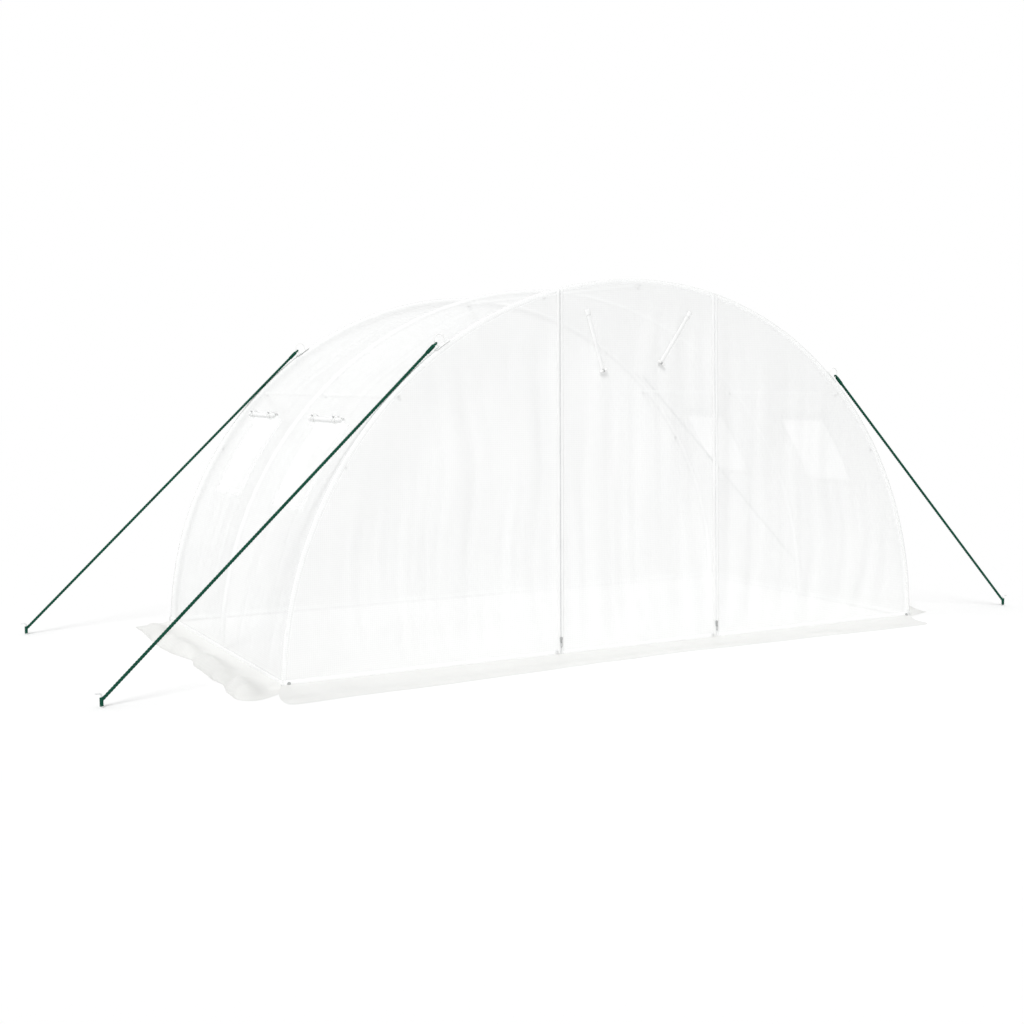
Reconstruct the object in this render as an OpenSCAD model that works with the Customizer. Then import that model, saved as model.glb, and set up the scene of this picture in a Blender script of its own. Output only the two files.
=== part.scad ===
// Polytunnel greenhouse: three tube hoops under a translucent film cover, guyed by four ropes.
// Millimetres, +Z up. X runs across the span, Y from the door end (negative) to the rear end.
// The origin lies on the ground, in the middle of the tunnel.

/* [Tunnel] */
// Width over the hoops at the ground
span = 4000; // [3400:50:4800]
// Height over the hoops
rise = 1970; // [1750:10:2200]
// Length over the two end hoops
length = 2000; // [1700:50:3000]

/* [Frame] */
// Outside diameter of the hoop tubes and base rails
tube_d = 25; // [20:1:34]
// Wall of every tube
tube_wall = 1; // [0.8:0.1:2]
// Outside diameter of the purlins
purlin_d = 20; // [16:1:28]
// Angle of the side purlins, about the centre of the arch
purlin_angle = 45; // [42:1:58]
// Number of tubes plugged end to end in each hoop
hoop_tubes = 4; // [2:1:6]
// Length of the narrowed tube end that plugs into the next tube
spigot_len = 60; // [30:5:100]

/* [Cover] */
// Thickness of the film
film_t = 2; // [1:0.5:4]
// Angle at which the wall film meets the roof film
wall_angle = 62; // [58:1:70]
// Clearance between pieces that lie against each other
clearance = 0.3; // [0.2:0.05:0.5]

/* [Windows] */
// Width of each window along the tunnel
window_w = 400; // [300:10:560]
// Height of each window along the curve
window_h = 450; // [300:10:500]
// Angle of the middle of each window
window_angle = 32; // [27:1:33]
// Thickness of the window net
net_t = 1; // [0.5:0.25:1.5]
// Diameter of a window flap when it is rolled up
flap_d = 36; // [24:2:50]
// Length by which a rolled flap passes the window at each end
flap_over = 20; // [5:5:40]
// Width of each band tied around a rolled flap
band_w = 20; // [12:2:30]
// Thickness of the band
band_t = 2; // [1:0.5:3]
// Distance from each end of the roll to the middle of its band
band_inset = 70; // [40:5:100]

/* [Door] */
// Width between the middles of the two door zips
door_w = 1000; // [800:10:1200]
// Width of each zip over its two tapes
zip_w = 36; // [28:2:50]
// Width of the closed row of zip teeth
teeth_w = 8; // [6:1:12]
// Height by which the teeth stand out from the tapes
teeth_h = 2; // [1:0.5:4]
// Width of the zip slider
slider_w = 18; // [14:1:24]
// Length of the zip slider
slider_len = 34; // [24:2:44]
// Height of the slider above the ground
slider_z = 70; // [40:5:160]
// Length of the pull that hangs from the slider
pull_len = 36; // [20:2:40]
// Width of each door tie
tie_w = 22; // [14:2:34]
// Thickness of each door tie
tie_t = 2; // [1:0.5:4]
// Length of each door tie
tie_len = 330; // [220:10:380]
// Distance of the tie tops from the middle of the door
tie_x = 330; // [260:10:400]
// Depth of the tie tops below the top of the arch
tie_drop = 165; // [140:5:220]
// Slant of the left tie towards the middle of the door
left_tie_slant = 18; // [0:1:30]
// Slant of the right tie towards the middle of the door
right_tie_slant = 36; // [0:1:40]
// Diameter of the toggle on each tie
toggle_d = 14; // [10:1:20]
// Length of the toggle on each tie
toggle_len = 46; // [34:2:60]

/* [Skirts] */
// Width of the skirts at the door end and the rear end
end_skirt_w = 350; // [250:10:450]
// Width of the skirts along the sides
side_skirt_w = 280; // [180:10:400]
// Length by which each side skirt passes one end of the tunnel
side_skirt_over = 200; // [100:10:240]
// Angle at which the skirts spread at two corners and draw in at the other two
corner_flare = 17; // [5:1:22]
// Slit between two skirts at a corner
corner_slit = 12; // [6:1:20]

/* [Guying] */
// Angle of the left rope rings, about the centre of the arch
left_rope_angle = 55; // [52:1:56]
// Angle of the right rope rings, which sit lower
right_rope_angle = 48; // [46:1:54]
// Diameter of the guy ropes
rope_d = 14; // [8:1:14]
// Distance from the hoop foot to the peg
peg_out = 830; // [780:10:1000]
// Length of the webbing tab under each rope ring
tab_len = 90; // [70:5:120]
// Width of the webbing tab
tab_w = 26; // [20:1:28]
// Thickness of the webbing tab
tab_t = 3; // [2:0.5:5]
// Diameter of the rope ring to the middle of its bar
ring_d = 56; // [52:1:66]
// Thickness of the ring bar
ring_bar = 5; // [4:0.5:7]
// Diameter of the lashing behind the ring
lashing_d = 18; // [17:1:24]
// Length of the lashing behind the ring
lashing_len = 60; // [30:5:90]
// Diameter of the peg rod
peg_d = 8; // [6:0.5:10]
// Height of the straight part of the peg above the ground
peg_h = 52; // [48:1:80]
// Radius of the bend under the peg hook
hook_r = 12; // [9:1:18]
// Length of the straight end of the peg hook
hook_len = 16; // [8:1:26]
// Diameter of the rope wound around the peg
winding_d = 22; // [18:1:30]
// Height of the lowest turn of rope above the ground
winding_z = 4; // [3:1:8]
// Gap between the highest turn of rope and the bend of the hook
winding_gap = 3; // [2:1:6]

/* [Hidden] */
$fn = 96;
ARC_FN = 360;
FAR = 10000;

// Arch: a circle over the hoops that passes through both feet and the top
hoop_r = (span * span / 4 + rise * rise) / (2 * rise);
arch_z = rise - hoop_r;
tube_r = hoop_r - tube_d / 2;
hoop_y = length / 2 - tube_d / 2;
foot_angle = asin(-arch_z / tube_r);
tube_angle = (180 - 2 * foot_angle) / hoop_tubes;
tube_bore = tube_d - 2 * tube_wall;
spigot_d = tube_bore - 2 * clearance;
purlin_r = hoop_r - tube_d - clearance - purlin_d / 2;
rail_z = tube_d / 2;
rail_x = sqrt(tube_r * tube_r - (rail_z - arch_z) * (rail_z - arch_z));

// Cover: the film lies just outside the hoops
film_in = hoop_r + clearance;
film_out = film_in + film_t;
gable_in = length / 2 + clearance;
gable_out = gable_in + film_t;
foot_x = sqrt(film_out * film_out - arch_z * arch_z);
window_arc = arc_angle(window_h, film_in);
window_y = length / 4;
flap_r = film_out + clearance + band_t + flap_d / 2;
flap_angle = window_angle + window_arc / 2 + arc_angle(flap_d / 2, flap_r);

// Guying: each rope runs straight from its ring to the top turns of the winding on its peg
ring_r = film_out + clearance + tab_t + ring_d / 2 + ring_bar / 4;
peg_x = span / 2 + peg_out;
winding_h = peg_h - winding_z - winding_gap;
tie_at = [peg_x, winding_z + winding_h - rope_d];
rope_start = ring_d / 2 + ring_bar / 2 + clearance;

SIDES = ["left", "right"];
ENDS = ["front", "rear"];

STEEL = [0.93, 0.94, 0.94];
FILM = [0.95, 0.97, 0.96, 0.55];
NET = [0.99, 0.99, 0.99, 0.7];
TRIM = [0.97, 0.97, 0.97];
ROPE = [0.05, 0.27, 0.18];
PEG = [0.62, 0.64, 0.65];

// Angle that a length takes up along a circle
function arc_angle(len, radius) = len / radius * 180 / PI;

// Turns a shape made for the right rear corner to another side or end
module turned(side, end) {
    mirror([side == "left" ? 1 : 0, 0, 0]) mirror([0, end == "front" ? 1 : 0, 0]) children();
}

// Takes away whatever lies below the ground
module above_ground() {
    difference() {
        children();
        translate([-FAR, -FAR, -FAR]) cube([2 * FAR, 2 * FAR, FAR]);
    }
}

// Places a shape drawn about the Z axis on the centre line of the arch, at a place along the tunnel
module on_arch(y) {
    translate([0, y, arch_z]) rotate([90, 0, 0]) children();
}

// A curved tube that follows the hoops
module bent_tube(from, to, d_out, d_in) {
    rotate([0, 0, from]) rotate_extrude(angle = to - from, $fn = ARC_FN) translate([tube_r, 0])
        difference() {
            circle(d = d_out);
            circle(d = d_in);
        }
}

// The space that a whole hoop fills, grown by the clearance
module hoop_space(y) {
    on_arch(y) rotate([0, 0, -45]) rotate_extrude(angle = 270, $fn = ARC_FN)
        translate([tube_r, 0]) circle(d = tube_d + 2 * clearance);
}

// A straight tube along Y, centred on the origin
module straight_tube(len, d) {
    rotate([90, 0, 0]) difference() {
        cylinder(d = d, h = len, center = true);
        cylinder(d = d - 2 * tube_wall, h = len + 2, center = true);
    }
}

// A curved sheet between two radii and two angles, from y0 to y1
module arched_sheet(r_in, r_out, from, to, y0, y1) {
    on_arch(0) rotate([0, 0, from]) rotate_extrude(angle = to - from, $fn = ARC_FN)
        translate([r_in, -y1]) square([r_out - r_in, y1 - y0]);
}

// The outline of a gable, between two places across the span
module gable_outline(x0, x1) {
    intersection() {
        translate([0, arch_z]) circle(r = hoop_r, $fn = ARC_FN);
        translate([x0, 0]) square([x1 - x0, rise + tube_d]);
    }
}

// A flat sheet in the plane of the gable at the door end, from depth y outwards
module gable_sheet(y, t) {
    translate([0, -y, 0]) rotate([90, 0, 0]) linear_extrude(t) children();
}

// One hoop: tubes plugged end to end, each narrowed where it enters the next
module hoop(y) {
    gap = arc_angle(clearance / 2, tube_r);
    spigot = arc_angle(spigot_len, tube_r);
    neck = arc_angle(tube_d, tube_r);
    color(STEEL) above_ground() on_arch(y) for (i = [0 : hoop_tubes - 1]) {
        last = i == hoop_tubes - 1;
        from = i == 0 ? foot_angle - neck : foot_angle + i * tube_angle + gap;
        to = last ? 180 - foot_angle + neck : foot_angle + (i + 1) * tube_angle - gap;
        bent_tube(from, to, tube_d, tube_bore);
        if (!last) {
            bent_tube(to - neck, to, tube_bore + tube_wall, spigot_d - tube_wall);
            bent_tube(to - neck, to + spigot, spigot_d, spigot_d - 2 * tube_wall);
        }
    }
}

// A purlin runs under the hoops for the length of the tunnel
module purlin(angle) {
    color(STEEL) translate([purlin_r * cos(angle), 0, arch_z + purlin_r * sin(angle)])
        straight_tube(length, purlin_d);
}

// A side rail lies between the hoop feet, its ends shaped to the tubes that it meets
module side_rail(side) {
    color(STEEL) turned(side, "rear") difference() {
        translate([rail_x, 0, rail_z]) straight_tube(2 * hoop_y, tube_d);
        for (y = [-hoop_y, 0, hoop_y]) hoop_space(y);
    }
}

// An end rail crosses the tunnel between the feet of an end hoop
module end_rail(end) {
    color(STEEL) turned("right", end) difference() {
        translate([0, hoop_y, rail_z]) rotate([0, 0, 90]) straight_tube(2 * rail_x, tube_d);
        hoop_space(hoop_y);
    }
}

// One bay of wall film from the ground to the roof film, with its window cut out
module wall(side, end) {
    color(FILM) turned(side, end) above_ground() difference() {
        arched_sheet(film_in, film_out, foot_angle - 2, wall_angle - arc_angle(clearance / 2, film_in),
            clearance / 2, gable_out);
        window_space(film_in - film_t, film_out + film_t, 0);
    }
}

// The space of one window, made smaller all round by a margin
module window_space(r_in, r_out, margin) {
    half_angle = window_arc / 2 - arc_angle(margin, film_in);
    half_w = window_w / 2 - margin;
    arched_sheet(r_in, r_out, window_angle - half_angle, window_angle + half_angle,
        window_y - half_w, window_y + half_w);
}

// One bay of roof film over the ridge
module roof(end) {
    gap = arc_angle(clearance / 2, film_in);
    color(FILM) turned("right", end)
        arched_sheet(film_in, film_out, wall_angle + gap, 180 - wall_angle - gap, clearance / 2, gable_out);
}

// A window net fills its cut-out
module net(side, end) {
    color(NET) turned(side, end) window_space(film_in, film_in + net_t, clearance);
}

// A window flap, rolled up above its window and tied with two bands
module flap(side, end) {
    roll_len = window_w + 2 * flap_over;
    color(TRIM) turned(side, end)
        translate([flap_r * cos(flap_angle), window_y, arch_z + flap_r * sin(flap_angle)])
        rotate([90, 0, 0]) {
            cylinder(d = flap_d, h = roll_len, center = true);
            for (z = [-1, 1] * (roll_len / 2 - band_inset))
                translate([0, 0, z]) cylinder(d = flap_d + 2 * band_t, h = band_w, center = true);
        }
}

// The film of the door end, to one side of the door
module front_gable(side) {
    color(FILM) turned(side, "rear") gable_sheet(gable_in, film_t)
        gable_outline(door_w / 2 + zip_w / 2 + clearance, span);
}

// The door, closed by its two zips
module door_panel() {
    half_w = door_w / 2 - zip_w / 2 - clearance;
    color(FILM) gable_sheet(gable_in, film_t) gable_outline(-half_w, half_w);
}

// The film of the rear end
module rear_gable() {
    color(FILM) mirror([0, 1, 0]) gable_sheet(gable_in, film_t) gable_outline(-span, span);
}

// A zip from the ground to the arch, with its slider drawn down
module door_zip(side) {
    color(TRIM) turned(side, "rear") {
        gable_sheet(gable_in, film_t) gable_outline(door_w / 2 - zip_w / 2, door_w / 2 + zip_w / 2);
        gable_sheet(gable_out, teeth_h)
            gable_outline(door_w / 2 - teeth_w / 2, door_w / 2 + teeth_w / 2);
        gable_sheet(gable_out, 2 * teeth_h)
            translate([door_w / 2 - slider_w / 2, slider_z]) square([slider_w, slider_len]);
        gable_sheet(gable_out + teeth_h, teeth_h) translate([door_w / 2 - teeth_w / 2, slider_z - pull_len])
            square([teeth_w, pull_len + slider_len / 2]);
    }
}

// A webbing tie with a toggle at its end, to hold the door when it is rolled up
module door_tie(side, slant) {
    color(TRIM) turned(side, "rear") translate([tie_x, -gable_out - clearance, rise - tie_drop])
        rotate([0, slant, 0]) {
            translate([-tie_w / 2, -tie_t, -tie_len]) cube([tie_w, tie_t, tie_len]);
            translate([0, -toggle_d / 2, -tie_len])
                rotate([0, 90, 0]) cylinder(d = toggle_d, h = toggle_len, center = true);
        }
}

// A skirt laid on the ground at one end, spread at one corner and drawn in at the other
module end_skirt(end) {
    y0 = gable_out + clearance;
    y1 = y0 + end_skirt_w;
    lean = end_skirt_w * tan(corner_flare);
    color(FILM) turned(end == "front" ? "left" : "right", end) linear_extrude(film_t)
        polygon([[-foot_x, y0], [foot_x, y0], [foot_x + lean, y1], [lean - foot_x, y1]]);
}

// A skirt laid on the ground along one side: it passes one end of the tunnel, slit from the end skirt,
// and is drawn in at the other end
module side_skirt(side) {
    x0 = foot_x + clearance;
    x1 = x0 + side_skirt_w;
    slit_x = x0 + corner_slit;
    end_x = slit_x + side_skirt_over * tan(corner_flare);
    y0 = gable_out;
    y1 = gable_out + side_skirt_over;
    drawn_y = gable_out - side_skirt_w * tan(corner_flare);
    color(FILM) turned(side, side == "left" ? "front" : "rear") linear_extrude(film_t)
        polygon([[x0, -y0], [x1, -drawn_y], [x1, y1], [end_x, y1], [slit_x, y0], [x0, y0]]);
}

// Angle and centre of the rope ring on one side
function rope_angle(side) = side == "left" ? left_rope_angle : right_rope_angle;
function ring_at(side) = [ring_r * cos(rope_angle(side)), arch_z + ring_r * sin(rope_angle(side))];

// A webbing tab on the cover over an end hoop, with the ring that takes the rope
module rope_tab(side, end) {
    low = rope_angle(side) - arc_angle(tab_len, film_out) / 2;
    high = rope_angle(side) + arc_angle(tab_len, film_out) / 2;
    turned(side, end) {
        arched_sheet(film_out + clearance, film_out + clearance + tab_t,
            low, high, hoop_y - tab_w / 2, hoop_y + tab_w / 2);
        translate([ring_at(side)[0], hoop_y, ring_at(side)[1]]) rotate([90, 0, 0])
            rotate_extrude() translate([ring_d / 2, 0]) circle(d = ring_bar);
    }
}

module rope_tabs() {
    color(TRIM) for (side = SIDES, end = ENDS) rope_tab(side, end);
}

// A taut guy rope: lashed behind its ring, and wound around its peg
module rope(side, end) {
    line = tie_at - ring_at(side);
    rope_run = norm(line);
    rope_fall = atan2(-line[1], line[0]);
    color(ROPE) turned(side, end) difference() {
        union() {
            translate([ring_at(side)[0], hoop_y, ring_at(side)[1]]) rotate([0, 90 + rope_fall, 0]) {
                translate([0, 0, rope_start]) cylinder(d = rope_d, h = rope_run - rope_start);
                translate([0, 0, rope_start]) cylinder(d = lashing_d, h = lashing_len);
            }
            translate([peg_x, hoop_y, winding_z]) cylinder(d = winding_d, h = winding_h);
        }
        translate([peg_x, hoop_y, -1]) cylinder(d = peg_d + 2 * clearance, h = peg_h);
    }
}

// A steel peg from the ground up, with its hook turned away from the tunnel
module peg(side, end) {
    color(PEG) turned(side, end) translate([peg_x, hoop_y, 0]) {
        cylinder(d = peg_d, h = peg_h);
        translate([hook_r, 0, peg_h]) rotate([90, 0, 0]) rotate([0, 0, 90])
            rotate_extrude(angle = 90) translate([hook_r, 0]) circle(d = peg_d);
        translate([hook_r, 0, peg_h + hook_r]) rotate([0, 90, 0]) cylinder(d = peg_d, h = hook_len);
    }
}

hoop(-hoop_y);  // front_hoop
hoop(0);  // middle_hoop
hoop(hoop_y);  // rear_hoop
purlin(90);  // ridge_purlin
purlin(180 - purlin_angle);  // left_purlin
purlin(purlin_angle);  // right_purlin
side_rail("left");  // left_rail
side_rail("right");  // right_rail
end_rail("front");  // front_rail
end_rail("rear");  // rear_rail
wall("left", "front");  // front_left_wall
roof("front");  // front_roof
wall("right", "front");  // front_right_wall
wall("left", "rear");  // rear_left_wall
roof("rear");  // rear_roof
wall("right", "rear");  // rear_right_wall
net("left", "front");  // front_left_net
net("right", "front");  // front_right_net
net("left", "rear");  // rear_left_net
net("right", "rear");  // rear_right_net
flap("left", "front");  // front_left_flap
flap("right", "front");  // front_right_flap
flap("left", "rear");  // rear_left_flap
flap("right", "rear");  // rear_right_flap
front_gable("left");  // front_gable_left
front_gable("right");  // front_gable_right
door_panel();
rear_gable();
door_zip("left");  // left_zip
door_zip("right");  // right_zip
door_tie("left", left_tie_slant);  // left_door_tie
door_tie("right", right_tie_slant);  // right_door_tie
end_skirt("front");  // front_skirt
end_skirt("rear");  // rear_skirt
side_skirt("left");  // left_skirt
side_skirt("right");  // right_skirt
rope_tabs();
rope("left", "front");  // front_left_rope
rope("right", "front");  // front_right_rope
rope("left", "rear");  // rear_left_rope
rope("right", "rear");  // rear_right_rope
peg("left", "front");  // front_left_peg
peg("right", "front");  // front_right_peg
peg("left", "rear");  // rear_left_peg
peg("right", "rear");  // rear_right_peg
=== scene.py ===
# %% [markdown]
# # A polytunnel greenhouse, dressed in Blender
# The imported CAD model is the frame: hoops, rails, film, zips, ropes and pegs at their real places, in metres.
# This lesson keeps the steel tubes and pegs as they are and replaces everything soft: the film sags, the
# window flaps are rolled, the skirts lie crumpled on the ground and the ropes get their strands.

import bmesh
import bpy
import numpy as np
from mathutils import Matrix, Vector


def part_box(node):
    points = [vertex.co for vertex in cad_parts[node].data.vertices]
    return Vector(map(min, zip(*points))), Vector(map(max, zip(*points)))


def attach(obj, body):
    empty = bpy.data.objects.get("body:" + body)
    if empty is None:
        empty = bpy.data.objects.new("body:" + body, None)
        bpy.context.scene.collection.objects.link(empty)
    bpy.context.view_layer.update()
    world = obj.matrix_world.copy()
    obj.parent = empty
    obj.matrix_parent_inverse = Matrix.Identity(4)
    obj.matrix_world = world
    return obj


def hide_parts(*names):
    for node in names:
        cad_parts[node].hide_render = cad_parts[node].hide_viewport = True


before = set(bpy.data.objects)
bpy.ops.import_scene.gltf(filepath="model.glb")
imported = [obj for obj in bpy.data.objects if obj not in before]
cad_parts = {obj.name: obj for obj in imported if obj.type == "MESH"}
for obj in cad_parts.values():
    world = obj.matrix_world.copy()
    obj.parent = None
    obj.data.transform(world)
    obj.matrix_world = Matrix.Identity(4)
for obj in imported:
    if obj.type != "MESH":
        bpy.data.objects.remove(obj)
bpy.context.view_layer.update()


# %% [markdown]
# ## Sizes that the pieces share
# Every soft piece leans on the hoops, so its size comes from the boxes of the CAD nodes. A hoop is an arc of
# a circle through both feet and the top: its radius is (half span squared + rise squared) / (twice the rise).
# Three directions are named as well: across the span, along the tunnel and up.

# %% Read the tunnel's sizes
hoop_low, hoop_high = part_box("front_hoop")
half_span, rise = hoop_high.x, hoop_high.z
hoop_r = (half_span ** 2 + rise ** 2) / (2 * rise)
arch_z = rise - hoop_r
tube_d = hoop_high.y - hoop_low.y
hoop_y = -(hoop_low.y + hoop_high.y) / 2
door_low, door_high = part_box("door_panel")
film_t = door_high.y - door_low.y
gable_y = -(door_low.y + door_high.y) / 2
film_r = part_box("front_roof")[1].z - arch_z - film_t / 2
foot_angle = np.arcsin(-arch_z / film_r)
foot_x = film_r * np.cos(foot_angle)
SIDES = {"left": -1, "right": 1}
ENDS = {"front": -1, "rear": 1}
ACROSS, ALONG, UP = np.eye(3)
print(f"hoop radius {hoop_r:.3f}, film radius {film_r:.4f}, gable at y = ±{gable_y:.4f}")

# %% [markdown]
# ## Camera
# The camera comes first, because every later choice is judged through it. Its place was found by matching the
# hoop feet, hoop tops and rope ends of the CAD model with the photograph: it stands in front of the left
# corner, a little under the ridge, and looks slightly down.

# %% Place the camera
CAMERA_AT = Vector((-4.0715, -7.0274, 1.4449))
CAMERA_YAW = np.radians(28.73)
CAMERA_PITCH = np.radians(-5.58)
LENS_MM = 47.74

scene = bpy.context.scene
camera_data = bpy.data.cameras.new("camera")
camera_data.lens = LENS_MM
camera = bpy.data.objects.new("camera", camera_data)
looking = Vector((np.sin(CAMERA_YAW) * np.cos(CAMERA_PITCH),
                  np.cos(CAMERA_YAW) * np.cos(CAMERA_PITCH),
                  np.sin(CAMERA_PITCH)))
camera.location = CAMERA_AT
camera.rotation_euler = looking.to_track_quat("-Z", "Y").to_euler()
scene.collection.objects.link(camera)
scene.camera = camera
scene.view_settings.view_transform = "Standard"
print("camera looks along", [round(v, 3) for v in looking])

# %% [markdown]
# ## Small helpers for shader nodes
# A material is a tree of nodes. One helper adds a node, sets its options, and either writes a number on a
# socket or links another node's output to it. The others stand on it, so a finish reads as a few short lines.

# %% Helpers for node trees
def add_node(tree, kind, options=None, inputs=None):
    """Adds one node: options are its own settings, and inputs maps a socket to a value or to an output."""
    made = tree.nodes.new(kind)
    for key, value in (options or {}).items():
        setattr(made, key, value)
    for key, value in (inputs or {}).items():
        if isinstance(value, bpy.types.NodeSocket):
            tree.links.new(value, made.inputs[key])
        else:
            made.inputs[key].default_value = value
    return made


def maths(tree, operation, first, second=0.0):
    """One number out of two, by the named operation."""
    return add_node(tree, "ShaderNodeMath", {"operation": operation}, {0: first, 1: second}).outputs[0]


def plus_share(tree, first, second, share):
    """The first number plus a share of the second."""
    return maths(tree, "ADD", first, maths(tree, "MULTIPLY", second, share))


def ramp(tree, value, low, high, to_low=0.0, to_high=1.0):
    """Carries a value from the range low to high over to another range, and holds it there."""
    made = add_node(tree, "ShaderNodeMapRange", {"clamp": True},
                    {"Value": value, "From Min": low, "From Max": high, "To Min": to_low, "To Max": to_high})
    return made.outputs["Result"]


def blend_colours(tree, share, first, second):
    """The first colour where share is 0, the second where it is 1."""
    first, second = (value if isinstance(value, bpy.types.NodeSocket) else (*value, 1.0)
                     for value in (first, second))
    made = add_node(tree, "ShaderNodeMix", {"data_type": "RGBA"}, {0: share, 6: first, 7: second})
    return made.outputs[2]


def noise(tree, vector, scale, detail=2.0):
    """Cloudy grey noise on the given coordinates."""
    made = add_node(tree, "ShaderNodeTexNoise", None, {"Vector": vector, "Scale": scale, "Detail": detail})
    return made.outputs["Fac"]


def stretched(tree, vector, factors):
    """Coordinates scaled by a factor along each axis."""
    return add_node(tree, "ShaderNodeMapping", None, {"Vector": vector, "Scale": factors}).outputs[0]


print("node helpers ready")

# %% Helpers for coordinates and finishes
def flat_coordinates(tree):
    """The piece's own flat map, in metres."""
    return add_node(tree, "ShaderNodeUVMap", {"uv_map": "cut"}).outputs["UV"]


def object_coordinates(tree):
    """The place in the tunnel's own frame, in metres."""
    return add_node(tree, "ShaderNodeTexCoord").outputs["Object"]


def back_faces(tree):
    """One on faces seen from behind, nought on the others."""
    return add_node(tree, "ShaderNodeNewGeometry").outputs["Backfacing"]


def socket(shader, words):
    """The shader's socket of that name: specular_ior_level stands for Specular IOR Level."""
    return shader.inputs[words.replace("_", " ").title().replace("Ior", "IOR")]


def new_finish(name, **values):
    """A material with one Principled shader. Values are written on the sockets of the shader."""
    material = bpy.data.materials.new(name)
    material.use_nodes = True
    tree = material.node_tree
    shader = next(n for n in tree.nodes if n.type == "BSDF_PRINCIPLED")
    for words, value in values.items():
        socket(shader, words).default_value = value
    return material, tree, shader


def feed(tree, shader, **outputs):
    """Links outputs of other nodes to the sockets of the shader."""
    for words, output in outputs.items():
        tree.links.new(output, socket(shader, words))


def bump(tree, shader, height, distance, strength):
    """Lets a grey height tilt the surface by up to a distance in metres."""
    made = add_node(tree, "ShaderNodeBump", None,
                    {"Height": height, "Distance": distance, "Strength": strength})
    feed(tree, shader, normal=made.outputs[0])


print("finish helpers ready")

# %% [markdown]
# ## Light and floor
# The photograph is a studio cut-out: white behind a white tunnel. A white room would do, but then the film
# would have no shade at all. Instead the sky gives most of the light, one soft sun the rest, and together
# they light a level white floor to just about white. Rays that the camera or a mirror sends past the object
# meet plain white, and the floor keeps the tunnel's soft shadow. A ray may cross many layers of film, so the
# limit for see-through surfaces goes up.

# %% Light the studio
SKY_SHARE = 0.62
SUN_SHARE = 0.38
SUN_FROM = Vector((-0.58, -0.68, 0.88)).normalized()
SUN_ANGLE = np.radians(24)
FLOOR_SIZE = 90.0
FLOOR_SEEN = (1.0, 1.0, 1.0)
FLOOR_BOUNCE = (0.85, 0.85, 0.85)
FILM_LAYERS = 32


def seen_directly(tree):
    """One for rays from the camera, from a mirror or through glass, nought for light that is scattered."""
    path = add_node(tree, "ShaderNodeLightPath")
    seen = maths(tree, "MAXIMUM", path.outputs["Is Camera Ray"], path.outputs["Is Glossy Ray"])
    return maths(tree, "MAXIMUM", seen, path.outputs["Is Transmission Ray"])


world = bpy.data.worlds.new("studio")
world.use_nodes = True
scene.world = world
sky_tree = world.node_tree
sky = next(n for n in sky_tree.nodes if n.type == "BACKGROUND")
sky.inputs["Color"].default_value = (1.0, 1.0, 1.0, 1.0)
feed(sky_tree, sky, strength=ramp(sky_tree, seen_directly(sky_tree), 0, 1, SKY_SHARE, 1.0))

sun_data = bpy.data.lights.new("sun", "SUN")
sun_data.energy = SUN_SHARE * np.pi / SUN_FROM.z
sun_data.angle = SUN_ANGLE
sun = bpy.data.objects.new("sun", sun_data)
sun.rotation_euler = SUN_FROM.to_track_quat("Z", "Y").to_euler()
scene.collection.objects.link(sun)

floor_data = bpy.data.meshes.new("floor")
floor_corners = FLOOR_SIZE / 2 * np.array([[-1, -1, 0], [1, -1, 0], [1, 1, 0], [-1, 1, 0]])
floor_data.from_pydata(floor_corners.tolist(), [], [[0, 1, 2, 3]])
floor = bpy.data.objects.new("floor", floor_data)
floor_finish, floor_tree, floor_shader = new_finish("floor_white", roughness=1.0, specular_ior_level=0.0)
floor_colour = blend_colours(floor_tree, seen_directly(floor_tree), FLOOR_BOUNCE, FLOOR_SEEN)
feed(floor_tree, floor_shader, base_color=floor_colour)
floor_data.materials.append(floor_finish)
scene.collection.objects.link(floor)
scene.cycles.transparent_max_bounces = FILM_LAYERS
print(f"sun energy {sun_data.energy:.2f}, sky share {SKY_SHARE}")

# %% [markdown]
# ## Shapes from arrays
# Each new piece is a grid of points worked out at once, or a profile carried along a path. A shape is kept as
# points, faces and a flat map in metres until all the parts of a piece are there, and then one mesh is made.

# %% Numbers on grids
def smooth(share):
    """A share held between 0 and 1, with a soft start and a soft end: 3t² - 2t³."""
    share = np.clip(share, 0.0, 1.0)
    return share * share * (3 - 2 * share)


def bell(value, width, power=2):
    """One at nought, falling off on both sides as exp(-(value / width)²). A higher even power gives it a flat
    top."""
    return np.exp(-(value / width) ** power)


def soft_noise(u, v, spacing, seed, size=128):
    """Random numbers from -1 to 1 on crossings that lie a spacing apart, joined smoothly between them."""
    table = np.random.default_rng(seed).uniform(-1, 1, (size, size))
    u, v = np.broadcast_arrays(np.asarray(u) / spacing[0], np.asarray(v) / spacing[1])
    left, low = np.floor(u).astype(int), np.floor(v).astype(int)
    across, up = smooth(u - left), smooth(v - low)
    below, above = (table[left % size, row % size] * (1 - across)
                    + table[(left + 1) % size, row % size] * across for row in (low, low + 1))
    return below * (1 - up) + above * up


def stations(breaks, step):
    """Places along a line that meet every break and lie about a step apart between them."""
    parts = [np.linspace(a, b, max(1, round(abs(b - a) / step)) + 1)[:-1] for a, b in zip(breaks, breaks[1:])]
    return np.append(np.concatenate(parts), breaks[-1])


def paired(*parts):
    """Numbers on one grid, side by side: the coordinates of its points, or its flat map."""
    return np.stack(np.broadcast_arrays(*parts), axis=-1)


def unit(vectors):
    """The same directions with a length of one."""
    return vectors / np.linalg.norm(vectors, axis=-1, keepdims=True)


def run_along(points):
    """How far along a line each of its points lies."""
    return np.concatenate([[0], np.cumsum(np.linalg.norm(np.diff(points, axis=0), axis=1))])


def full_turn(count):
    """Angles once round a circle, as a column."""
    return np.linspace(0, 2 * np.pi, count, endpoint=False)[:, None]


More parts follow.
